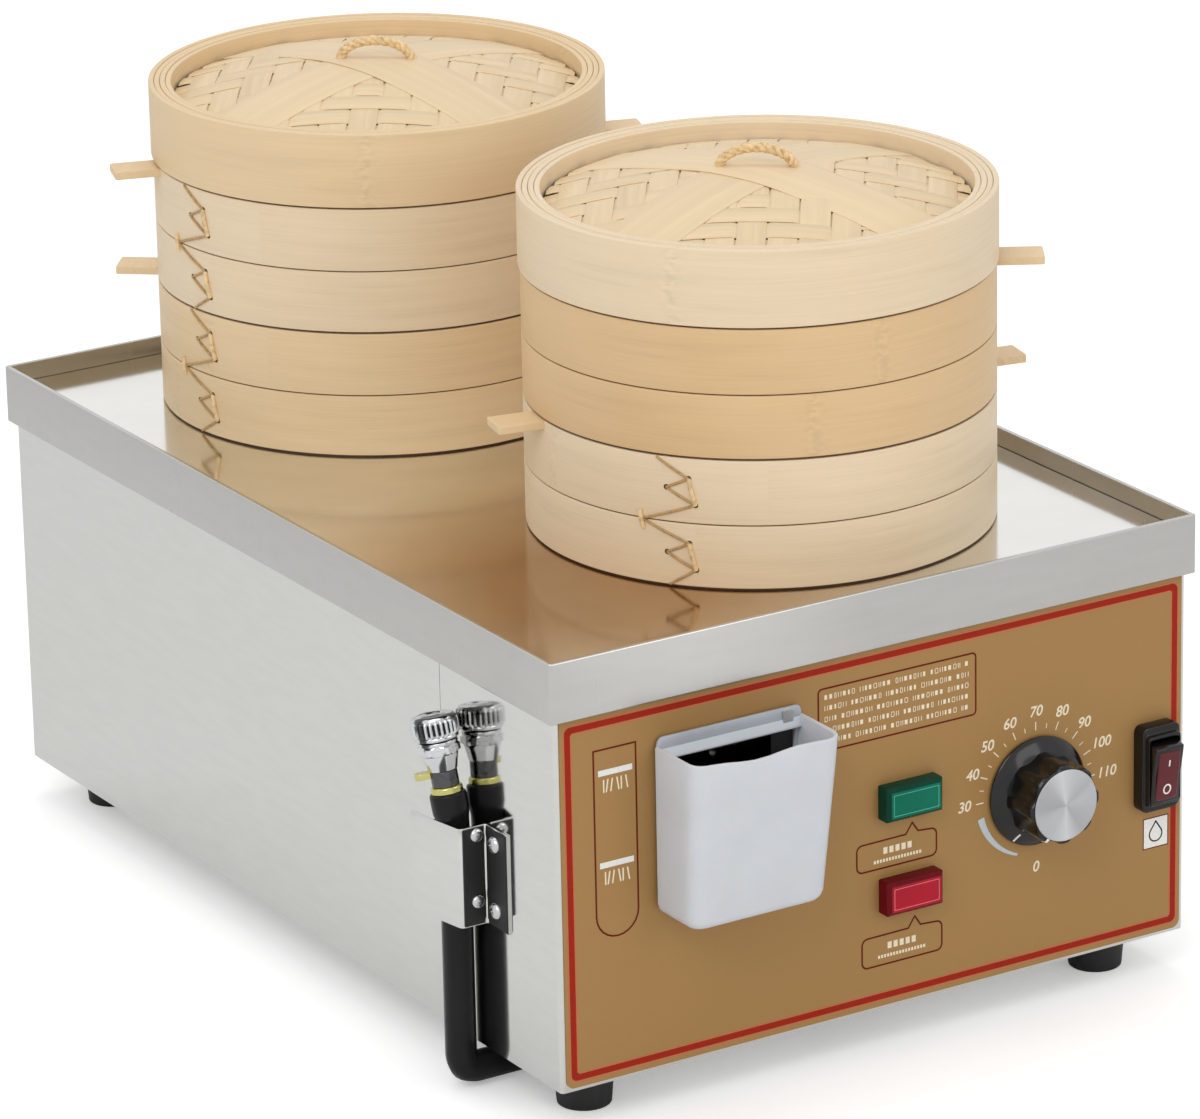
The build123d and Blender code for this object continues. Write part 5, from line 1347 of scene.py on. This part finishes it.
class STEAMER_OT_drain(bpy.types.Operator):
    """Run the drain hose, fit its valve and tap, and bend the bracket"""

    bl_idname = "steamer.drain"
    bl_label = "Drain"

    def execute(self, context):
        self.run_hose()
        self.fit_clamp()
        self.fit_sleeve()
        self.fit_valve()
        self.fit_tap()
        self.bend_bracket()
        return {"FINISHED"}

    def run_hose(self):
        """The hose is one smooth line; it swells into a cuff over the valve's tail."""
        valve_x, hose_y = VALVE_BASE.xy
        outlet_x, under = OUTLET.x, 8.6
        route = [(outlet_x, hose_y, z) for z in (62, 42, 24)]
        route += [(x, hose_y, under) for x in (outlet_x, -132, -148, -164, valve_x)]
        route += [(valve_x, hose_y, z) for z in (25, 60, 100)]
        route += [tuple(VALVE_BASE), tuple(VALVE_BASE + VALVE_AXIS * CUFF_TOP)]
        radius = settings("drain").hose_radius / MM
        make_canes("smooth_drain_hose", [route], radius, "hose_rubber", "cabinet", "drain_hose",
                   slot="hose_rubber", smooth=True)
        cuff = soften([
            (6.9, 0), (7.5, 5), (8.45, 9), (8.5, 17.2), (7.6, CUFF_TOP), (5, CUFF_TOP)
        ], 1.2, 4, closed=False)
        make_block("hose_cuff", turned(valve_place(), cuff), "hose_rubber", "cabinet",
                   slot="hose_rubber")

    def fit_clamp(self):
        shape = bmesh.new()
        band = soften([(7.4, 0), (8.3, 0), (8.3, 8), (7.4, 8)], 0.25)
        loft(shape, turned(Matrix.Translation(OUTLET), band), joined=True)
        housing = Matrix.Translation(OUTLET + Vector((0, 11.3, 4))) @ Matrix.Rotation(
            pi / 2, 4, "Y"
        )
        screw = ((3.2, -4), (3.6, -3.6), (3.6, 3.6), (3.2, 4))
        loft(shape, turned(housing, screw, 24), first=True, last=True)
        make_piece("clamp_band", shape, "plated_steel", "cabinet", "hose_clamp",
                   slot="plated_steel")

    def fit_sleeve(self):
        """The brass sleeve has a tab on one side; a chrome neck, darkened as painted shade, runs
        through it.
        """
        place = valve_place()
        shape, neck = bmesh.new(), bmesh.new()
        sleeve = soften([
            (5.5, CUFF_TOP), (7.3, CUFF_TOP), (7.3, 20.6), (6.6, 21.2), (5.5, 21.2)
        ], 0.35)
        loft(shape, turned(place, sleeve), joined=True)
        tab = soften([
            (5.6, 2.6), (11, 3.3), (13.2, 2.0), (13.4, 0), (13.2, -2.0), (11, -3.3), (5.6, -2.6)
        ], 1.0, 2)
        loft(shape, [
            [place @ Vector((point.x * stretch, point.y * stretch, level)) for point in tab]
            for stretch, level in ((0.97, 25.6), (1, 25.9), (1, 28.1), (0.97, 28.4))
        ], first=True, last=True)
        make_piece("valve_sleeve", shape, "brass_fitting", "cabinet", "valve_ferrule",
                   slot="brass_fitting")
        # The neck is chrome darkened as painted shade
        tube = soften([(5.4, 21), (6.3, 21.2), (6.3, 28.5), (5.4, 28.5)], 0.3)
        loft(neck, turned(place, tube), joined=True)
        make_piece("valve_neck", neck, "painted_shade_chrome", "cabinet", slot="valve_chrome")

    def fit_valve(self):
        """The casting is a cone, a hexagon nut, a bonnet and a stem, one above the other."""
        place = valve_place()
        cone = soften([(4, 28.6), (6.7, 28.6), (8.3, 35.5), (8.3, 36), (4, 36)], 0.4, closed=False)
        nut = [(8.2, 36), (9.7, 36.9), (9.7, 39.9), (8.2, 40.8)]
        bonnet = soften([(4, 40.8), (9.1, 40.8), (9.1, 42.4), (4, 42.4)], 0.4, closed=False)
        shape = bmesh.new()
        for rings in (
            turned(place, cone), [hexagon(place, reach, level, 8.45) for reach, level in nut],
            turned(place, bonnet),
        ):
            loft(shape, rings, first=True, last=True)
        loft(shape, turned(place, [(3, 42.4), (3, 43.2)], 24), last=True)
        make_piece("valve_casting", shape, "valve_chrome", "cabinet", "valve_body",
                   slot="valve_chrome")

    def fit_tap(self):
        """The tap has fine flutes round its waist and a smooth domed top."""
        place = valve_place()
        flutes = settings("drain").flutes
        profile = (
            (7.0, 43.05, 0), (9.4, 43.05, 0), (10.0, 43.6, 0), (10.0, 44.6, 0), (9.7, 44.9, 0.1),
            (10.8, 45.3, 1.4), (11.1, 46.2, 1.8), (11.1, 51.2, 1.8), (10.8, 52.1, 1.3),
            (10.0, 52.6, 0.1), (10.1, 53.0, 0), (9.6, 53.7, 0), (8.0, 54.15, 0), (4.4, 54.45, 0),
            (3.9, 54.05, 0), (1.0, 54.0, 0),
        )
        rings = [fluted(place, reach, level, depth, flutes, flutes * 6, 1.4)
                 for reach, level, depth in profile]
        make_block("valve_tap", rings, "valve_chrome", "valve_knob", "valve_knob",
                   slot="valve_chrome", sharp=60)
        # The core between the flutes is chrome painted near-black, as shade in the grooves
        core = turned(place, [(9.0, 45.6), (10.25, 46.4), (10.25, 51.0), (9.0, 51.8)], 72)
        make_block("valve_tap_grooves", core, "groove_chrome", "valve_knob", slot="valve_chrome")

    def bend_bracket(self):
        """One sheet is bent out from the side, round the front of the hose and back along it."""
        low, high = ends("hose_bracket")
        middle = soften([
            (LEFT_X - 0.5, -215), (LEFT_X - 0.5, -196.5), (LEFT_X - 14.2, -196.5),
            (LEFT_X - 18.4, -174), (LEFT_X - 19.5, -163),
        ], 1.8, 4, closed=False)
        last, bevel = len(middle) - 1, 0.35
        rings = []
        for inset, level in (
            (bevel, low.z), (0, low.z + bevel), (0, high.z - bevel), (bevel, high.z)
        ):
            outer, inner = [], []
            for place, point in enumerate(middle):
                ahead = middle[min(place + 1, last)] - middle[max(place - 1, 0)]
                normal = Vector((-ahead.y, ahead.x)).normalized() * (0.5 - inset * 0.4)
                shift = Vector((0, inset if place == last else 0))
                outer.append(point + normal + shift)
                inner.append(point - normal)
            rings.append([Vector((*point, level)) for point in outer + inner[::-1]])
        make_block("bent_bracket", rings, "polished_steel", "cabinet", "hose_bracket",
                   slot="polished_steel")
        ahead, aside = Matrix.Rotation(pi / 2, 4, "X"), Matrix.Rotation(-pi / 2, 4, "Y")
        soles = ((0, 0), (0, 0.4), (0.25, 0.7))
        for name, spot, turn, half_width, half_height in (
            ("bracket_pad", (LEFT_X - 7.9, -197.0, 108), ahead, 5.4, 23.4),
            ("bracket_foot_pad", (LEFT_X - 1.0, -206.7, 108), aside, 23.4, 8.0),
        ):
            pad = pillow(Matrix.Translation(spot) @ turn, half_width, half_height, 0.6, soles)
            make_block(name, pad, "black_rubber", "cabinet", slot="black_rubber")
        for name, height in (("upper", 128.0), ("lower", 96.0)):
            place = Matrix.Translation((LEFT_X - 6.6, -197.7, height)) @ ahead
            make_pan_head(f"bracket_screw_{name}", place, 3.2, 2.0)
            place = Matrix.Translation((LEFT_X - 1.7, -206.3, height - 3)) @ aside
            make_pan_head(f"foot_screw_{name}", place, 4.0, 2.6)


# Baskets and lids


STACKS = {"left": Vector((-22.0, 146.0)), "right": Vector((27.0, -119.0))}
STOREY = 62.0
HOOP_RADIUS, LID_RADIUS, HOOP_INSIDE = 110.2, 111.2, 100.0


def seat(side, storey):
    """Give the place of a basket or a lid on its stack."""
    return Matrix.Translation((*STACKS[side], PLATE_TOP + storey * STOREY))


def make_hoop(shape, place, low, high, outer, layers, lap):
    """Bend a hoop of thin layers; fine gaps show between them along the top."""
    thickness = (outer - HOOP_INSIDE) / layers
    for layer in range(layers):
        outside = outer - layer * thickness
        inside = outside - thickness + 0.14
        top = high - (0.0, 0.35, 0.15, 0.5, 0.3)[layer % 5]
        bottom = low + (0.0 if layer == 0 else 0.2)
        profile = soften(
            [(outside, bottom), (outside, top), (inside, top), (inside, bottom)], 0.55, 3
        )
        revolve(shape, place, profile, 144, lap + 0.6 * layer)


def fill_seams(name, place, body, levels):
    """Dark rings lie inside the seams of the hoops, where no light reaches."""
    shape = bmesh.new()
    outer, inner, height = 109.3, 103, 1.9
    for level in levels:
        section = [(outer, level), (outer, level + height), (inner, level + height), (inner, level)]
        revolve(shape, place, section, 144)
    make_piece(name, shape, "painted_gap_shade", body)


def on_hoop(place, radius, turn, height):
    """Give a point on the outside of a hoop, by its angle in degrees and its height."""
    return place @ Vector((radius * cos(radians(turn)), radius * sin(radians(turn)), height))


def along_hoop(place, radius, start, end, bulge=0.35):
    """Give the points of a thread that lies on a hoop between two spots."""
    points, steps = [], 6
    for step in range(steps + 1):
        share = step / steps
        spot = Vector(start).lerp(Vector(end), share)
        points.append(on_hoop(place, radius + bulge * sin(pi * share), *spot))
    return points


class STEAMER_OT_baskets(bpy.types.Operator):
    """Bend the basket hoops, stitch them, and finish ears and floors"""

    bl_idname = "steamer.baskets"
    bl_label = "Baskets"

    ears = {
        "left_lower": (141.0, -39.0), "left_upper": (162.0, -18.0),
        "right_lower": (169.0, -11.0), "right_upper": (-31.0,),
    }
    tones = {
        "left_lower": "bamboo_light", "left_upper": "bamboo_pale",
        "right_lower": "bamboo_pale", "right_upper": "bamboo_tan",
    }
    slots = {
        "left_lower": "bamboo_tan", "left_upper": "bamboo_tan",
        "right_lower": "bamboo_pale", "right_upper": "bamboo_tan",
    }
    laps = {"left_lower": 192.0, "left_upper": 191.0, "right_lower": 221.0}

    def execute(self, context):
        for name in self.ears:
            side, level = name.split("_")
            place = seat(side, 0 if level == "lower" else 1)
            body = f"{name}_basket"
            self.bend_walls(name, place, body)
            self.fit_ears(name, place, body)
            dress("slat_bamboo", f"{name}_floor")
            if name in self.laps:
                self.stitch(name, place, body, self.laps[name])
        return {"FINISHED"}

    def bend_walls(self, name, place, body):
        shape = bmesh.new()
        layers = settings("bamboo").hoop_layers
        lap = radians(self.laps.get(name, 60.0))
        for low, high in ((0.9, 30.65), (31.25, 61.8)):
            make_hoop(shape, place, low, high, HOOP_RADIUS, layers, lap + low * 0.01)
        make_piece(f"{name}_hoops", shape, self.tones[name], body, f"{name}_wall",
                   slot=self.slots[name])
        fill_seams(f"{name}_seam_shadow", place, body, (0.1, 30.0))

    def fit_ears(self, name, place, body):
        shape = bmesh.new()
        layer = shape.loops.layers.uv.verify()
        half_length, half_width = 14, 8.5
        for turn in self.ears[name]:
            aim = place @ Matrix.Rotation(radians(turn), 4, "Z") @ Matrix.Translation((118, 0, 60))
            section = soften([(0.9, -2), (0, -2), (0, 1.85), (0.9, 1.85)], 0.5, closed=False)
            rings = [
                rounded_box(aim, half_length - inset * 0.6, half_width - inset * 0.6, 1.2, level)
                for inset, level in section
            ]
            loft(shape, rings, first=True, last=True)
        for face in shape.faces:
            for loop in face.loops:
                spot = loop.vert.co
                loop[layer].uv = ((spot.x + spot.y) * MM, (spot.x - spot.y + spot.z) * MM)
        make_piece(f"{name}_lifting_ears", shape, "bamboo_light", body, f"{name}_ears",
                   slot=self.slots[name])

    def stitch(self, name, place, body, turn):
        """Rattan threads tie each lap in a zigzag, and cross the seam between two bands."""
        radius = HOOP_RADIUS + 0.25
        thick, thin, holes = [], [], []
        cross = turn - 13
        for low, top_end, low_end in (
            (31, (turn - 9, 61.5), (cross, 31)), (0, (cross, 31), (turn - 6, 1.2))
        ):
            upper, lower = (turn - 1.0, low + 21.5), (turn + 0.6, low + 9.0)
            apex = (turn - 6.6, low + 16.5)
            thick.append(along_hoop(place, radius, upper, lower, 0.7))
            thin += [along_hoop(place, radius, start, end) for start, end in (
                (upper, apex), (lower, apex), (upper, top_end), (lower, low_end)
            )]
            holes += [upper, lower, apex]
        thick.append(along_hoop(place, radius, (cross - 0.6, 35.2), (cross + 0.3, 26.6), 0.6))
        stitch = settings("bamboo").stitch_radius / MM
        make_canes(f"{name}_stitches", thick, stitch, "rattan", body, slot="rattan")
        make_canes(f"{name}_threads", thin, stitch * 0.55, "dark_rattan", body, slot="rattan")
        # Dark discs at the stitch holes are painted shade
        shape = bmesh.new()
        for spot in holes:
            middle = on_hoop(place, HOOP_RADIUS + 0.08, *spot)
            outward = (middle - place.translation).xy.normalized()
            axes = Vector((*outward, 0)).to_track_quat("Z", "Y").to_matrix().to_4x4()
            hole = circle(Matrix.Translation(middle) @ axes, 1.35, 0, 14)
            shape.faces.new([shape.verts.new(point) for point in hole])
        make_piece(f"{name}_stitch_hole_shade", shape, "painted_gap_shade", body)


class STEAMER_OT_lids(bpy.types.Operator):
    """Bend the lid hoops, weave the domes, and tie on straps and handles"""

    bl_idname = "steamer.lids"
    bl_label = "Lids"

    tones = {"left": "bamboo_light", "right": "bamboo_pale"}
    slots = {"left": "bamboo_tan", "right": "bamboo_pale"}
    straps = {"left": (14.0, -80.0), "right": (20.0, -72.0)}
    weave_turn = -35.0
    edge = 27.7
    crown = 15.2
    reach = 99.6

    def execute(self, context):
        for side in STACKS:
            place = seat(side, 2)
            body = f"{side}_lid"
            shape = bmesh.new()
            make_hoop(shape, place, 0.9, 36.95, LID_RADIUS, 4, radians(70))
            make_piece(f"{side}_lid_hoop", shape, self.tones[side], body, f"{side}_lid_rim",
                       slot=self.slots[side])
            fill_seams(f"{side}_lid_seam_shadow", place, body, (0.1,))
            self.line_dome(side, place, body)
            self.weave_dome(side, place, body)
            self.tie_straps(side, place, body)
            self.twist_handle(side, place, body)
        return {"FINISHED"}

    def height(self, reach):
        """Give the height of the dome at a reach from its middle."""
        share = min(reach / self.reach, 1.0)
        return self.edge + self.crown * (1 - share**2) * (1 - 0.08 * share)

    def on_dome(self, place, x, y, lift=0.0):
        return place @ Vector((x, y, self.height(sqrt(x * x + y * y)) + lift))

    def strip_row(self, place, along, across, limit, lift, drop, way=0):
        """Give the points across a strip, whose edges drop a little, within a reach."""
        points = []
        for share, wide in across:
            squeeze = min(1.0, limit / max(sqrt(along * along + wide * wide), 1e-6))
            x, y = (along, wide) if way == 0 else (wide, along)
            level = lift - drop if abs(share) == 1 else lift
            points.append(self.on_dome(place, x * squeeze, y * squeeze, level))
        return points

    def line_dome(self, side, place, body):
        """A sheet in painted shade lies under the weave, and shows through its gaps."""
        shape = bmesh.new()
        reaches = [0.5, *range(12, 85, 12), 93, self.reach]
        top = [(reach, self.height(reach) - 1.15) for reach in reaches]
        bottom = [(reach, self.height(reach) - 2.0) for reach in reversed(reaches)]
        revolve(shape, place, top + bottom, 96)
        make_piece(f"{side}_dome_painted_shade", shape, "painted_gap_shade", body, f"{side}_lid_dome",
                   slot="bamboo_weave")

    def weave_dome(self, side, place, body):
        """Strips pass over two and under two, in steps that turn back at the middle."""
        bamboo = settings("bamboo")
        pitch, gap = bamboo.strip_pitch / MM, bamboo.strip_gap / MM
        rise = bamboo.strip_rise / MM
        shape = bmesh.new()
        layer = shape.loops.layers.uv.verify()
        half_count = int(self.reach / pitch) + 1
        limit = self.reach - 0.4
        aim = place @ Matrix.Rotation(radians(self.weave_turn), 4, "Z")
        for way in (0, 1):
            for strip in range(-half_count, half_count + 1):
                offset = strip * pitch
                if abs(offset) + pitch * 0.3 > limit:
                    continue
                half = sqrt(limit**2 - offset**2)
                steps = max(4, int(2 * half / (pitch / 8)))
                rows = []
                for step in range(steps + 1):
                    along = -half + 2 * half * step / steps
                    lift = rise * self.over(way, strip, along / pitch)
                    across = [(share, offset + share * (pitch - gap) / 2)
                              for share in (-1, -0.94, 0, 0.94, 1)]
                    rows.append(self.strip_row(aim, along, across, limit, lift, 0.3, way))
                made = loft(shape, rows, looped=False)
                self.lay_fibres(made, layer, strip, way, pitch)
        piece = make_piece(f"{side}_woven_dome", shape, "bamboo_weave", body, slot="bamboo_weave",
                           sharp=50)
        self.thicken(piece, 0.5)

    def lay_fibres(self, rows, layer, strip, way, pitch):
        """Run the fibres of a strip along it, each strip in a place of its own."""
        spots = {}
        for step, row in enumerate(rows):
            for place, vertex in enumerate(row):
                spots[vertex] = (
                    (step * pitch / 8 + 37 * strip + 211 * way) * MM,
                    (place * pitch / 4 + 53 * strip + 17 * way) * MM,
                )
        for row in rows:
            for vertex in row:
                for loop in vertex.link_loops:
                    loop[layer].uv = spots[vertex]

    def over(self, way, strip, along):
        """Give +1 where a strip is on top and -1 where it is below, with soft steps between."""
        def state(cross):
            first, second = (strip, cross) if way == 0 else (cross, strip)
            top = (first + abs(second)) % 4 < 2
            return (1 if top else -1) * (1 if way == 0 else -1)
        here = round(along)
        share = along - here
        ease = 0.28
        value = state(here)
        if abs(share) > 0.5 - ease / 2:
            ahead = state(here + (1 if share > 0 else -1))
            blend = (abs(share) - (0.5 - ease / 2)) / ease
            value = value * (1 - blend) + ahead * blend
        return value

    def thicken(self, piece, thickness):
        solid = piece.modifiers.new("thickness", "SOLIDIFY")
        solid.thickness = thickness * MM
        solid.offset = -1

    def tie_straps(self, side, place, body):
        for rank, turn in enumerate(self.straps[side]):
            aim = place @ Matrix.Rotation(radians(turn), 4, "Z")
            shape = bmesh.new()
            layer = shape.loops.layers.uv.verify()
            rows = []
            steps, half_length, half_width = 48, 96, 19
            across = [(share, share * half_width) for share in (-1, -0.97, -0.5, 0, 0.5, 0.97, 1)]
            for step in range(steps + 1):
                along = half_length * (2 * step / steps - 1)
                near = max(0.0, 1 - (along / 34) ** 4) if rank else 0.0
                lift = 0.95 + 0.75 * near
                rows.append(self.strip_row(aim, along, across, self.reach - 1.1, lift, 0.35))
            made = loft(shape, rows, looped=False)
            self.lay_fibres(made, layer, rank * 7 + len(side), 1, 10)
            nodes = (f"{side}_lid_straps",) if rank == 0 else ()
            piece = make_piece(f"{side}_strap_{rank + 1}", shape, "bamboo_weave", body, *nodes,
                               slot="bamboo_weave", sharp=50)
            self.thicken(piece, 0.7)

    def twist_handle(self, side, place, body):
        """Three canes are twisted round the line of an arch, and dip under the straps."""
        aim = place @ Matrix.Rotation(radians(-38), 4, "Z")
        low = self.edge + self.crown
        runs = []
        steps, strands, turns, twist = 120, 3, 4.5, 1.2
        half_span, rise = 17.4, 10.0
        for strand in range(strands):
            run = []
            for step in range(steps + 1):
                share = step / steps
                turn = pi * (1.12 * share - 0.06)
                spin = tau * (turns * share + strand / strands)
                middle = Vector((half_span * cos(turn), 0, low + rise * sin(turn)))
                outward = Vector((cos(turn), 0, sin(turn)))
                run.append(aim @ (
                    middle + outward * twist * cos(spin) + Vector((0, twist * sin(spin), 0))
                ))
            runs.append(run)
        make_canes(f"{side}_cane_handle", runs, 1.35, "rattan", body, f"{side}_lid_handle",
                   slot="rattan")


# Feet and cable gland


class STEAMER_OT_feet(bpy.types.Operator):
    """Mould the rubber feet and the cable gland at the back"""

    bl_idname = "steamer.feet"
    bl_label = "Feet and gland"

    def execute(self, context):
        shape = bmesh.new()
        profile = soften(
            [(4, 5.9), (5.4, 5.8), (5.6, 0.2), (12.6, 0.0), (14.3, 20.9), (4, 20.9)], 0.9,
            closed=False,
        )
        for x in (-142, 142):
            for y in (-227, 227):
                place = Matrix.Translation((x, y, 0))
                loft(shape, turned(place, profile, 48), first=True, last=True)
        make_piece("rubber_feet", shape, "black_rubber", "cabinet", "feet", slot="black_rubber")
        self.mould_gland()
        return {"FINISHED"}

    def mould_gland(self):
        place = Matrix.Translation((118, REAR_Y, 52)) @ Matrix.Rotation(-pi / 2, 4, "X")
        shape = bmesh.new()
        nut = soften([(10.2, 0), (11.4, 0), (11.4, 5), (10.2, 5)], 0.5, closed=False)
        loft(shape, [hexagon(place, reach, level, 10.0) for reach, level in nut],
             first=True, last=True)
        cap = soften([(9.0, 5), (9.0, 7.4), (6.7, 16), (4.2, 16), (4.2, 6)], 0.6, closed=False)
        rings = []
        for reach, level in cap:
            depth = 0.25 if 5.5 < level < 14 and reach > 6 else 0
            rings.append(fluted(place, reach, level, depth, 12, 96))
        loft(shape, rings, last=True)
        make_piece("gland_moulding", shape, "black_plastic", "cabinet", "cable_gland",
                   slot="black_plastic")


class STEAMER_PT_panel(bpy.types.Panel):
    """Lists what the steamer is built from"""

    bl_idname = "STEAMER_PT_panel"
    bl_label = "Dumpling steamer"
    bl_space_type = "VIEW_3D"
    bl_region_type = "UI"
    bl_category = "Steamer"

    def draw(self, context):
        for operator in OPERATORS:
            self.layout.operator(operator.bl_idname)


OPERATORS = (
    STEAMER_OT_stage, STEAMER_OT_sheet_metal, STEAMER_OT_fascia, STEAMER_OT_hopper,
    STEAMER_OT_dial, STEAMER_OT_switch, STEAMER_OT_lamps, STEAMER_OT_drain,
    STEAMER_OT_baskets, STEAMER_OT_lids, STEAMER_OT_feet,
)
GROUPS = {
    "stage": StageSettings, "cabinet": CabinetSettings, "controls": ControlSettings,
    "drain": DrainSettings, "bamboo": BambooSettings,
}


def register():
    for name, group in GROUPS.items():
        bpy.utils.register_class(group)
        setattr(bpy.types.Scene, f"steamer_{name}", PointerProperty(type=group))
    for kind in (*OPERATORS, STEAMER_PT_panel):
        bpy.utils.register_class(kind)


def unregister():
    for kind in (STEAMER_PT_panel, *reversed(OPERATORS)):
        bpy.utils.unregister_class(kind)
    for name, group in reversed(GROUPS.items()):
        delattr(bpy.types.Scene, f"steamer_{name}")
        bpy.utils.unregister_class(group)


def main():
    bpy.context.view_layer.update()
    register()
    for operator in OPERATORS:
        family, action = operator.bl_idname.split(".")
        getattr(getattr(bpy.ops, family), action)()


if __name__ == "__main__":
    main()
